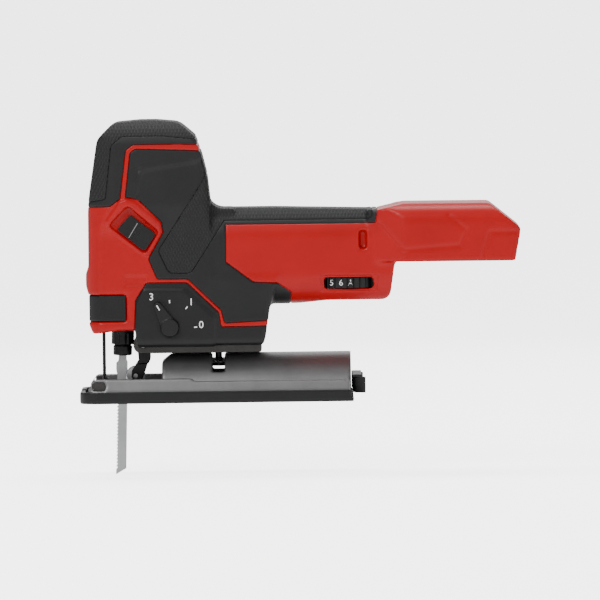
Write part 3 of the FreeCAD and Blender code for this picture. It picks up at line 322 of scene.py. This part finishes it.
def ranged(nodes, links, value, low, high, start=0.3, end=0.7):
    """value's span from start to end, spread from low to high."""
    span = nodes.new("ShaderNodeMapRange")
    span.inputs["From Min"].default_value = start
    span.inputs["From Max"].default_value = end
    span.inputs["To Min"].default_value = low
    span.inputs["To Max"].default_value = high
    links.new(value, span.inputs["Value"])
    return span.outputs["Result"]


def tinted(nodes, links, factor, dark, light):
    """A colour between dark and light."""
    mix = nodes.new("ShaderNodeMix")
    mix.data_type = "RGBA"
    mix.inputs["A"].default_value = (*dark, 1)
    mix.inputs["B"].default_value = (*light, 1)
    links.new(factor, mix.inputs["Factor"])
    return mix.outputs["Result"]


def bumped(nodes, links, shader, height, distance, below=None):
    """Roughens the shader's normal by height, on top of the bump given as below."""
    bump = nodes.new("ShaderNodeBump")
    bump.inputs["Distance"].default_value = distance
    bump.inputs["Strength"].default_value = 1.0
    links.new(height, bump.inputs["Height"])
    if below:
        links.new(below, bump.inputs["Normal"])
    links.new(bump.outputs["Normal"], shader.inputs["Normal"])
    return bump.outputs["Normal"]


# Noise scales are in features per metre, depths in metres.
BLOTCHES = 45
KNURL_BLOTCHES, KNURL_GRAIN = 60, 2500
KNURL_DEPTH, KNURL_GRAIN_DEPTH = 0.00035, 0.00002
KNURL_ROUGH = (0.56, 0.72)
WAVE_SCALE_AT_A_METRE = 2 / 6.283  # the wave texture's scale for rows about a metre apart


def scaled(colour, factor):
    """A lighter or darker colour."""
    return tuple(min(c * factor, 1.0) for c in colour)


def surface(name, colour, rough, metal, grain, grain_depth, spread, stretch=None, specular=0.5):
    """A general moulded, cast or ground surface: mottled colour, uneven gloss and a fine grain."""
    mat, nodes, links, shader, coords = new_material(name)
    broad = ranged(nodes, links, noise(nodes, links, coords, BLOTCHES, 4.0, 0.6), 0, 1)
    tint = tinted(nodes, links, broad, scaled(colour, 1 - spread), scaled(colour, 1 + spread))
    links.new(tint, shader.inputs["Base Color"])
    fine = noise(nodes, links, coords, grain, 2.0, 0.6, stretch)
    links.new(ranged(nodes, links, fine, rough[0], rough[1]), shader.inputs["Roughness"])
    shader.inputs["Metallic"].default_value = metal
    shader.inputs["Specular IOR Level"].default_value = specular
    bumped(nodes, links, shader, fine, grain_depth)
    return mat


def seen_directly(nodes, links, otherwise, directly):
    """One value for what the camera sees itself and another for the light that falls on things."""
    rays = nodes.new("ShaderNodeLightPath")
    return ranged(nodes, links, rays.outputs["Is Camera Ray"], otherwise, directly, 0.0, 1.0)


def glowing(mat, otherwise, directly):
    """Adds an even white light of the surface's own."""
    nodes, links = mat.node_tree.nodes, mat.node_tree.links
    shader = nodes["Principled BSDF"]
    shader.inputs["Emission Color"].default_value = (1, 1, 1, 1)
    links.new(seen_directly(nodes, links, otherwise, directly), shader.inputs["Emission Strength"])
    return mat


def knurled(name, colour, pitch, turns):
    """Rubber moulded with rows of small raised lozenges, its colour painted lighter on their tops and
    darker in the grooves between them as painted highlight and painted shade. turns are the two row angles
    in degrees.
    """
    mat, nodes, links, shader, coords = new_material(name)
    broad = noise(nodes, links, coords, KNURL_BLOTCHES, 4.0, 0.6)
    rows = []
    for turn in turns:
        mapping = nodes.new("ShaderNodeMapping")
        mapping.inputs["Rotation"].default_value = (0, math.radians(turn), 0)
        links.new(coords, mapping.inputs["Vector"])
        wave = nodes.new("ShaderNodeTexWave")
        wave.wave_type = "BANDS"
        wave.bands_direction = "X"
        wave.inputs["Scale"].default_value = WAVE_SCALE_AT_A_METRE / pitch
        wave.inputs["Distortion"].default_value = 0
        links.new(mapping.outputs["Vector"], wave.inputs["Vector"])
        rows.append(wave.outputs["Fac"])
    product = nodes.new("ShaderNodeMath")
    product.operation = "MULTIPLY"
    links.new(rows[0], product.inputs[0])
    links.new(rows[1], product.inputs[1])
    height = product.outputs["Value"]
    # Painted light and shade: the colour is lighter on the lozenge tops and darker in the grooves,
    # following the pattern's height.
    painted_relief_light = ranged(nodes, links, height, 0, 1, 0.0, 0.8)
    tint = tinted(nodes, links, painted_relief_light, scaled(colour, 0.55), scaled(colour, 1.35))
    shade = nodes.new("ShaderNodeMix")
    shade.data_type = "RGBA"
    shade.blend_type = "MULTIPLY"
    shade.inputs["Factor"].default_value = 0.35
    links.new(tint, shade.inputs["A"])
    mottle = tinted(nodes, links, ranged(nodes, links, broad, 0, 1), (0.5, 0.5, 0.5), (1, 1, 1))
    links.new(mottle, shade.inputs["B"])
    links.new(shade.outputs["Result"], shader.inputs["Base Color"])
    fine = noise(nodes, links, coords, KNURL_GRAIN, 2.0)
    links.new(ranged(nodes, links, fine, *KNURL_ROUGH), shader.inputs["Roughness"])
    shader.inputs["Specular IOR Level"].default_value = 0.35
    first = bumped(nodes, links, shader, height, KNURL_DEPTH)
    bumped(nodes, links, shader, fine, KNURL_GRAIN_DEPTH, first)
    return mat


def materials():
    """Every material of the tool, by the short name that the rest of the script uses."""
    red, rubber, dark = (0.36, 0.0012, 0.0025), (0.0075, 0.0075, 0.008), (0.006, 0.006, 0.0065)
    return {
        "red": surface("moulded_red", red, (0.32, 0.42), 0, 1800, 0.000022, 0.06, None, 0.25),
        "rubber": surface("smooth_rubber", rubber, (0.42, 0.55), 0, 2600, 0.00003, 0.2, None, 0.3),
        "knurl": knurled("knurled_rubber", (0.009, 0.009, 0.0095), 0.0022, (27, -27)),
        "dark": surface("dark_plastic", dark, (0.34, 0.46), 0, 2200, 0.00003, 0.2, None, 0.3),
        "cast": surface("cast_metal", (0.17, 0.17, 0.172), (0.34, 0.48), 0.8, 1500, 0.00005, 0.12),
        "strap": surface("pressed_steel", (0.055, 0.052, 0.05), (0.34, 0.46), 0.8, 1500, 0.00003, 0.15),
        "black": surface("blackened_steel", (0.008, 0.008, 0.009), (0.3, 0.44),
                         0.3, 1800, 0.00003, 0.25, None, 0.3),
        "steel": surface("ground_steel", (0.5, 0.5, 0.51), (0.22, 0.36),
                         1.0, 900, 0.00001, 0.08, (1, 1, 0.05)),
        "blade": surface("blade_steel", (0.42, 0.43, 0.43), (0.35, 0.5),
                         0.5, 900, 0.00001, 0.05, (1, 1, 0.08)),
        "bronze": surface("sintered_bronze", (0.42, 0.27, 0.12), (0.38, 0.5), 1.0, 2400, 0.00003, 0.15),
        "copper": surface("copper_wire", (0.55, 0.22, 0.09), (0.25, 0.4),
                          1.0, 700, 0.0002, 0.15, (0.05, 1, 1)),
        "laminate": surface("stacked_steel", (0.22, 0.22, 0.23), (0.35, 0.5), 1.0, 2500, 0.00006, 0.1,
                            (1, 0.02, 0.02)),
        "board": surface("circuit_board", (0.02, 0.12, 0.05), (0.35, 0.5), 0, 700, 0.0001, 0.3),
        "lens": surface("lamp_lens", (0.75, 0.76, 0.72), (0.12, 0.2), 0, 900, 0.00001, 0.05),
        "clear": surface("frosted_insert", (0.55, 0.56, 0.57), (0.3, 0.4), 0, 1500, 0.00003, 0.08),
        "white": surface("white_print", (0.85, 0.85, 0.85), (0.45, 0.6), 0, 1800, 0.00001, 0.04),
        "grey_print": surface("grey_print", (0.22, 0.22, 0.22), (0.45, 0.6), 0, 1800, 0.00001, 0.04),
    }


MATS = materials()
NODE_MATERIALS = {
    "cast": ["gear_case", "guide_frame", "shoe_plate"],
    "strap": ["foot_bracket"],
    "black": ["screws", "guard_wire", "bevel_bolt", "clamp_body", "clamp_collar", "guide_fork"],
    "steel": ["gear_axle", "front_motor_bearing", "rear_motor_bearing", "frame_pivot_pins",
              "fork_pivot_pin", "release_pin", "clamp_washer", "rotor_shaft", "pinion", "drive_gear",
              "eccentric_pin", "counterweight", "plunger_rod", "scotch_yoke", "collar_spring",
              "roller_pin", "guide_roller", "lever_pin", "draw_bar", "orbit_cam_shaft"],
    "blade": ["blade"],
    "bronze": ["upper_bush", "lower_bush", "terminal_blades"],
    "copper": ["motor_windings"],
    "laminate": ["motor_stator", "rotor"],
    "board": ["control_board"],
    "lens": ["work_lamp"],
    "clear": ["blade_insert"],
    "rubber": ["front_cap_grip", "grip_left", "grip_right"],
    "red": ["housing_left", "housing_right"],
    "dark": ["lower_cover_left", "lower_cover_right", "rear_bearing_plate", "dial_axle", "terminal_block",
             "switch_module", "cooling_fan", "shoe_cover", "bevel_lever", "switch_slider_left",
             "switch_slider_right", "switch_bridge", "speed_dial", "orbit_lever", "release_lever"],
}


def dress(obj, mat):
    """Gives a whole object one material."""
    obj.data.materials.clear()
    obj.data.materials.append(MATS[mat])
    obj.data.polygons.foreach_set("material_index", np.zeros(len(obj.data.polygons), np.int32))


for mat_name, node_names in NODE_MATERIALS.items():
    for node_name in node_names:
        dress(frame["nodes"][node_name], mat_name)


# -------------------------------------------------------- the casing: one sculpted skin cut into panels
BODY_NODES = ["housing_left", "housing_right", "front_cap_grip", "grip_left", "grip_right",
              "lower_cover_left", "lower_cover_right"]
PANELS = {
    "cap": CAP, "cap_texture": CAP_TEXTURE, "grip": GRIP, "grip_texture": GRIP_TEXTURE, "cover": COVER,
}
# The skin's cell size and smoothing rounds, the rays that find its outer side, and the vote that evens it.
SKIN_VOXEL, SKIN_ROUNDS = 1.2, 5
SKIN_START, SKIN_REACH = 0.8, 90.0
OPEN_ROUNDS, OPEN_SHARE, SHUT_SHARE = 3, 0.6, 0.3
# How near an outline the mesh is made finer, and how much a face must turn to the side to take its marks.
BORDER_BAND = 1.6
SIDE_FACING = 0.25
# How far each feature rises or sinks, and the width over which it does so.
GROOVE = 0.8
RUBBER_RISE, RUBBER_EDGE = 0.2, 1.2
SEAM_DEPTH, SEAM_HALF = 0.7, 0.5
TEXTURE_RISE, TEXTURE_EDGE = 0.12, 0.8
RIM_RISE, RIM_OUTER, RIM_INNER, RIM_OVERLAP = 1.5, 2.2, 1.6, 0.6
SCOOP_DEPTH, SCOOP_EDGE, SCOOP_FRONT, SCOOP_SLOPE = 1.3, 3.0, 13, 0.152
SCOOP_FADE_FROM, SCOOP_FADE_OVER = 118, 40
SUNKEN = [(DIAL_FRAME, 0.9, 0.9), (BADGE, 0.7, 0.6)]
FACE_RISE, FACE_EDGE, FACE_OVERLAP = 0.9, 1.2, 0.5
CREASE_DEPTH, CREASE_HALF = 0.55, 1.3


def faces_open_air(verts, tris, normals):
    """True for each vertex whose normal meets nothing more of the casing, evened out among neighbours."""
    tree = BVHTree.FromPolygons(verts.tolist(), tris.tolist())
    result = np.zeros(len(verts), bool)
    for i, (v, n) in enumerate(zip(verts, normals)):
        start = Vector(v + n * SKIN_START)
        result[i] = tree.ray_cast(start, Vector(n), SKIN_REACH)[0] is None
    edges = np.vstack([tris[:, [0, 1]], tris[:, [1, 2]], tris[:, [2, 0]]])
    around = np.maximum(np.bincount(edges[:, 0], minlength=len(verts)), 1)
    for _ in range(OPEN_ROUNDS):
        share = np.bincount(edges[:, 0], result[edges[:, 1]], len(verts)) / around
        result = np.where(share > OPEN_SHARE, True, np.where(share < SHUT_SHARE, False, result))
    return result


def groove(gap, half, depth):
    """How deep a round-edged groove is at each distance from its middle."""
    inwards = 1 - np.minimum(gap / half, 1)
    return depth * (1 - np.sqrt(np.clip(1 - inwards ** 2, 0, 1)))


def relief_of_rubber(fields, on_cap, on_grip):
    """Rubber stands a little proud, has a groove round it, and its texture starts at a seam."""
    lift = RUBBER_RISE * smooth_step(np.maximum(fields["cap"], fields["grip"]) / RUBBER_EDGE)
    for name in ("cap", "grip", "cover"):
        lift -= groove(np.abs(fields[name]), GROOVE, GROOVE)
    for name, where in (("cap_texture", on_cap), ("grip_texture", on_grip)):
        lift -= np.where(where, groove(np.abs(fields[name]), SEAM_HALF, SEAM_DEPTH), 0)
        lift += np.where(where, TEXTURE_RISE * smooth_step(fields[name] / TEXTURE_EDGE), 0)
    return lift


def relief_of_scoop(xz, smooth_grip):
    """The hollow in the smooth rubber below the scoop's edge, fading out downwards."""
    corner = SCOOP[1]
    under_edge = xz[:, 1] < corner[1] + (xz[:, 0] - corner[0]) * SCOOP_SLOPE
    gap = distance_to_line(xz, np.array(SCOOP, float), False)
    fade = smooth_step((xz[:, 1] - SCOOP_FADE_FROM) / SCOOP_FADE_OVER)
    depth = SCOOP_DEPTH * smooth_step(gap / SCOOP_EDGE) * fade
    return np.where(under_edge & (xz[:, 0] > SCOOP_FRONT) & smooth_grip, depth, 0)


def relief(xz, side):
    """How far each point of the skin stands out from the plain form, in mm."""
    fields = {name: depth_in(xz, outline) for name, outline in PANELS.items()}
    on_cap, on_grip = fields["cap"] > 0, fields["grip"] > 0
    lift = relief_of_rubber(fields, on_cap, on_grip)
    rim = smooth_step(depth_in(xz, SWITCH_FRAME) / RIM_OUTER)
    rim *= smooth_step((RIM_OVERLAP - depth_in(xz, SWITCH_HOLE)) / RIM_INNER)
    lift += np.where(side, RIM_RISE * rim, 0)
    smooth_grip = on_grip & (fields["grip_texture"] < 0) & side
    lift -= relief_of_scoop(xz, smooth_grip)
    for outline, depth, edge in SUNKEN:
        lift -= np.where(side, depth * smooth_step(depth_in(xz, outline) / edge), 0)
    face = smooth_step((depth_in(xz, COVER_FACE) + FACE_OVERLAP) / FACE_EDGE)
    lift += np.where(fields["cover"] > 0, FACE_RISE * face, 0)
    for crease in HOOD_CREASES:
        gap = distance_to_line(xz, np.array(crease, float), False)
        lift -= np.where(side, CREASE_DEPTH * np.exp(-((gap / CREASE_HALF) ** 2)), 0)
    return lift


def split_in_half(verts, tris, outer):
    """Cuts every triangle that crosses the mid-plane, and keeps track of which are on the skin."""
    marked = []
    for flag in (True, False):
        group = tris[outer == flag]
        verts, group, _ = cut_at_zero(verts, group, verts[:, 1].copy(), np.ones(len(group), bool))
        marked.append(group)
    on_skin, within = marked
    flags = np.arange(len(on_skin) + len(within)) < len(on_skin)
    return verts, np.vstack(marked), flags


def sculpted_skin():
    """The casing's mesh, cut along every panel's outline and raised and sunk to its relief."""
    base = remeshed("casing_base", BODY_NODES, SKIN_VOXEL, SKIN_ROUNDS)
    verts, tris = arrays_of(base.data)
    bpy.data.objects.remove(base)
    open_air = faces_open_air(verts, tris, normals_of(verts, tris))
    outer = open_air[tris].all(axis=1)
    borders = [rounded(outline) for outline in [*PANELS.values(), SWITCH_FRAME, SWITCH_HOLE, DIAL_FRAME]]
    near = np.min([distance_to_line(verts[:, [0, 2]], line, True) for line in borders], axis=0)
    chosen = outer & (near[tris].min(axis=1) < BORDER_BAND)
    verts, tris, added = refine(verts, tris, chosen)
    outer = np.concatenate([outer[~chosen], np.ones(added, bool)])
    for outline in PANELS.values():
        verts, tris, outer = cut_at_zero(verts, tris, depth_in(verts[:, [0, 2]], outline), outer)
    verts, tris, outer = split_in_half(verts, tris, outer)
    normals = normals_of(verts, tris)
    skin = np.zeros(len(verts), bool)
    skin[tris[outer]] = True
    lift = relief(verts[:, [0, 2]], np.abs(normals[:, 1]) > SIDE_FACING)
    verts = verts + normals * np.where(skin, lift, 0)[:, None]
    low, high = (np.array(corner) / MM for corner in CAD_BOX)
    return np.clip(verts, low, high), tris, outer


def panels_of(middle, outer):
    """Each panel's name, its triangles, and its material, replaced nodes and slot."""
    depth = {name: depth_in(middle[:, [0, 2]], outline) > 0 for name, outline in PANELS.items()}
    on_cap = outer & depth["cap"]
    on_grip = outer & depth["grip"] & ~on_cap
    on_cover = outer & depth["cover"] & ~on_cap & ~on_grip
    plain = ~(on_cap | on_grip | on_cover)
    knurl, smooth = on_grip & depth["grip_texture"], on_grip & ~depth["grip_texture"]
    left = middle[:, 1] < 0
    panels = [
        ("cap_rubber_knurled", on_cap & depth["cap_texture"], "knurl", ["front_cap_grip"], "black_rubber"),
        ("cap_rubber_band", on_cap & ~depth["cap_texture"], "rubber", [], "black_rubber"),
    ]
    for hand, where in (("left", left), ("right", ~left)):
        panels += [
            (f"grip_knurled_{hand}", knurl & where, "knurl", [f"grip_{hand}"], "black_rubber"),
            (f"grip_smooth_{hand}", smooth & where, "rubber", [], "black_rubber"),
            (f"gear_cover_{hand}", on_cover & where, "dark", [f"lower_cover_{hand}"], "dark_plastic"),
            (f"casing_{hand}", plain & where, "red", [f"housing_{hand}"], "red_plastic"),
        ]
    return panels


def build_casing():
    """Makes the panels of the skin, which stand in for the CAD's casing nodes."""
    verts, tris, outer = sculpted_skin()
    for name, where, mat, replaced, slot in panels_of(verts[tris].mean(axis=1), outer):
        piece = object_from(name, verts, tris[where])
        dress(piece, mat)
        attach(piece, "housing")
        if replaced:
            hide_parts(*replaced)


build_casing()

# -------------------------------------------------------- softened copies of the hard parts
# CAD node, cell size in mm, smoothing rounds, material, body, slot
SOFTENED = [
    ("shoe_plate", 1.0, 2, "cast", "shoe", "cast_grey"),
    ("shoe_cover", 0.8, 3, "dark", "shoe", "dark_plastic"),
    ("foot_bracket", 0.45, 3, "strap", "housing", "dark_steel"),
    ("guide_fork", 0.3, 4, "black", "fork", "dark_steel"),
    ("clamp_body", 0.3, 2, "black", "plunger", "dark_steel"),
    ("clamp_collar", 0.3, 2, "black", "clamp_collar", "dark_steel"),
    ("bevel_lever", 0.4, 4, "dark", "bevel_lever", "dark_plastic"),
    ("orbit_lever", 0.3, 6, "dark", "orbit_selector", "dark_plastic"),
    ("release_lever", 0.5, 4, "dark", "release_lever", "dark_plastic"),
    ("switch_slider_left", 0.3, 4, "dark", "power_switch", "dark_plastic"),
    ("switch_slider_right", 0.3, 4, "dark", "power_switch", "dark_plastic"),
    ("terminal_block", 0.6, 3, "dark", "housing", "dark_plastic"),
]
for node_name, cell, rounds, mat_name, body, slot_name in SOFTENED:
    piece = remeshed(node_name + "_soft", [node_name], cell, rounds)
    dress(piece, mat_name)
    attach(piece, body)
    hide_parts(node_name)


RAIL_POCKET_LOW, RAIL_POCKET_SIZE, RAIL_POCKET_SIDE = (-19.6, 5.4), (10.4, 1.0, 11.2), 35.6


def rail_backs():
    """Dark plates that close the small pockets at the front of the shoe's rails."""
    size = RAIL_POCKET_SIZE
    corners = [(i, j, k) for i in (0, 1) for j in (0, 1) for k in (0, 1)]
    faces = [(0, 1, 3, 2), (4, 6, 7, 5), (0, 4, 5, 1), (2, 3, 7, 6), (0, 2, 6, 4), (1, 5, 7, 3)]
    for hand, side in (("left", -1), ("right", 1)):
        low = (RAIL_POCKET_LOW[0], side * RAIL_POCKET_SIDE - size[1] / 2, RAIL_POCKET_LOW[1])
        verts = [tuple((low[n] + size[n] * corner[n]) * MM for n in range(3)) for corner in corners]
        mesh = bpy.data.meshes.new("rail_back_" + hand)
        mesh.from_pydata(verts, [], faces)
        obj = bpy.data.objects.new("rail_back_" + hand, mesh)
        bpy.context.collection.objects.link(obj)
        bevel = obj.modifiers.new("bevel", "BEVEL")
        bevel.width = 0.3 * MM
        bevel.segments = 2
        dress(obj, "strap")
        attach(obj, "shoe")


rail_backs()

# -------------------------------------------------------- marks laid on the surfaces
# Millimetres; places are (x, z).
MARK_RISE, MARK_THICKNESS = 0.06, 0.1
MARK_RAY_START, MARK_RAY_REACH = -80, 120
STROKE_PARTS = 6
LETTER_SHARE = 0.7
ORBIT_PIVOT, ORBIT_TICK_RADII, ORBIT_TICK_TURNS = (35.6, 54.0), (17.4, 19.6), (-31, 0, 41, 90)
ORBIT_NUMBERS = {"3": (22.6, 75.9), "1": (51.1, 71.9), "0": (58.1, 55.5)}
DIAL_NUMBERS, DIAL_NUMBER_Z = {"5": 151.8, "6": 158.6, "A": 165.4}, 84.1


def tree_of(name):
    """A ray tree, in millimetres, of a finished piece or CAD node."""
    verts, tris = arrays_of(bpy.data.objects[name].data)
    return BVHTree.FromPolygons(verts.tolist(), tris.tolist())


def laid_on(name, flat, faces, tree, body, mat):
    """Lays a flat mark of (x, z) points against the left side of what tree holds."""
    points = []
    for x, z in flat:
        hit = tree.ray_cast(Vector((x, MARK_RAY_START, z)), Vector((0, 1, 0)), MARK_RAY_REACH)[0]
        points.append((x * MM, (hit.y - MARK_RISE) * MM, z * MM))
    mesh = bpy.data.meshes.new(name)
    mesh.from_pydata(points, [], faces)
    obj = bpy.data.objects.new(name, mesh)
    bpy.context.collection.objects.link(obj)
    thick = obj.modifiers.new("thick", "SOLIDIFY")
    thick.thickness = MARK_THICKNESS * MM
    thick.offset = -1
    dress(obj, mat)
    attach(obj, body)


def numeral(name, text, at, height, tree, body):
    """A dial number of the given height."""
    font = bpy.data.curves.new(name, "FONT")
    font.body = text
    font.align_x, font.align_y = "CENTER", "CENTER"
    font.size = height / LETTER_SHARE
    source = bpy.data.objects.new(name + "_font", font)
    bpy.context.collection.objects.link(source)
    mesh = bpy.data.meshes.new_from_object(source.evaluated_get(bpy.context.evaluated_depsgraph_get()))
    bpy.data.objects.remove(source)
    flat = [(at[0] + v.co.x, at[1] + v.co.y) for v in mesh.vertices]
    faces = [tuple(p.vertices) for p in mesh.polygons]
    laid_on(name, flat, faces, tree, body, "white")


def stroke(name, a, b, width, tree, body, mat="white"):
    """A straight line of the given width."""
    a, b = np.array(a, float), np.array(b, float)
    run = (b - a) / np.linalg.norm(b - a)
    across = np.array((-run[1], run[0])) * width / 2
    flat, faces = [], []
    for k in range(STROKE_PARTS + 1):
        middle = a + (b - a) * k / STROKE_PARTS
        flat += [tuple(middle - across), tuple(middle + across)]
    for k in range(STROKE_PARTS):
        faces.append((2 * k, 2 * k + 2, 2 * k + 3, 2 * k + 1))
    laid_on(name, flat, faces, tree, body, mat)


def marks():
    """The numbers and ticks of the orbit selector, the speed dial and the switch."""
    cover = tree_of("gear_cover_left")
    for text, at in ORBIT_NUMBERS.items():
        numeral("orbit_number_" + text, text, at, 5.0, cover, "housing")
    for n, turn in enumerate(ORBIT_TICK_TURNS):
        away = (math.sin(math.radians(turn)), math.cos(math.radians(turn)))
        ends = [(ORBIT_PIVOT[0] + r * away[0], ORBIT_PIVOT[1] + r * away[1]) for r in ORBIT_TICK_RADII]
        stroke(f"orbit_tick_{n}", *ends, 0.8, cover, "housing")
    dial = tree_of("speed_dial")
    for text, x in DIAL_NUMBERS.items():
        numeral("dial_number_" + text, text, (x, DIAL_NUMBER_Z), 4.2, dial, "speed_dial")
    slider = tree_of("switch_slider_left_soft")
    stroke("switch_tick", (13.4, 129.0), (7.0, 118.6), 0.5, slider, "power_switch", "grey_print")
    lever = tree_of("orbit_lever_soft")
    stroke("orbit_pointer", (28.4, 66.6), (26.4, 70.2), 0.8, lever, "orbit_selector")


marks()

# -------------------------------------------------------- floor, light and camera, in metres and degrees
FLOOR_HALF, FLOOR_DROP = 90.0, 0.001
FLOOR_GLOW, WORLD_GLOW = (0.35, 3.4), (0.45, 3.6)
LIGHT_TARGET = (0.12, 0, 0.08)
# name, place, width and height, power in watts
LIGHTS = [
    ("key", (-0.7, -1.4, 1.3), (0.8, 0.8), 26),
    ("fill", (1.3, -1.2, 0.5), (1.0, 0.8), 5),
    ("top", (0.1, 0.2, 1.6), (1.2, 0.5), 22),
    ("rear", (0.2, 1.5, 0.8), (1.6, 1.0), 8),
]
CAMERA_DISTANCE, CAMERA_WIDTH = 6.0, 0.432
CAMERA_AIM, CAMERA_ELEVATION, CAMERA_ROLL = (0.1309, 0, 0.0710), 2.7, 0.75


def floor():
    """A pale floor just below the blade, so wide that its edge is out of sight."""
    half = FLOOR_HALF
    z = CAD_BOX[0][2] - FLOOR_DROP
    corners = [(-half, -half, z), (half, -half, z), (half, half, z), (-half, half, z)]
    mesh = bpy.data.meshes.new("floor")
    mesh.from_pydata(corners, [], [(0, 1, 2, 3)])
    obj = bpy.data.objects.new("floor", mesh)
    bpy.context.collection.objects.link(obj)
    mat = glowing(surface("pale_floor", (0.9, 0.9, 0.9), (0.7, 0.85), 0, 300, 0.0001, 0.01), *FLOOR_GLOW)
    mesh.materials.append(mat)


def area_light(name, at, size, power):
    """A soft rectangular light aimed at the middle of the tool."""
    data = bpy.data.lights.new(name, "AREA")
    data.shape = "RECTANGLE"
    data.size, data.size_y = size
    data.energy = power
    obj = bpy.data.objects.new(name, data)
    aim = Vector(LIGHT_TARGET) - Vector(at)
    obj.matrix_world = Matrix.Translation(Vector(at)) @ aim.to_track_quat("-Z", "Y").to_matrix().to_4x4()
    bpy.context.collection.objects.link(obj)


def camera():
    """A long lens square to the tool's left side, slightly above it and rolled a little."""
    data = bpy.data.cameras.new("camera")
    data.sensor_width = 36.0
    data.lens = data.sensor_width * CAMERA_DISTANCE / CAMERA_WIDTH
    data.clip_end = 300
    elevation, roll = math.radians(CAMERA_ELEVATION), math.radians(CAMERA_ROLL)
    back = Vector((0, -math.cos(elevation), math.sin(elevation)))
    right = Vector((math.cos(roll), 0, -math.sin(roll)))
    up = back.cross(right)
    turn = Matrix((right, up, back)).transposed().to_4x4()
    obj = bpy.data.objects.new("camera", data)
    obj.matrix_world = Matrix.Translation(Vector(CAMERA_AIM) + back * CAMERA_DISTANCE) @ turn
    bpy.context.collection.objects.link(obj)
    bpy.context.scene.camera = obj


def world():
    """An even white sky."""
    sky = bpy.data.worlds.new("studio")
    sky.use_nodes = True
    nodes, links = sky.node_tree.nodes, sky.node_tree.links
    back = nodes["Background"]
    back.inputs["Color"].default_value = (1, 1, 1, 1)
    links.new(seen_directly(nodes, links, *WORLD_GLOW), back.inputs["Strength"])
    bpy.context.scene.world = sky


floor()
world()
camera()
for light in LIGHTS:
    area_light(*light)
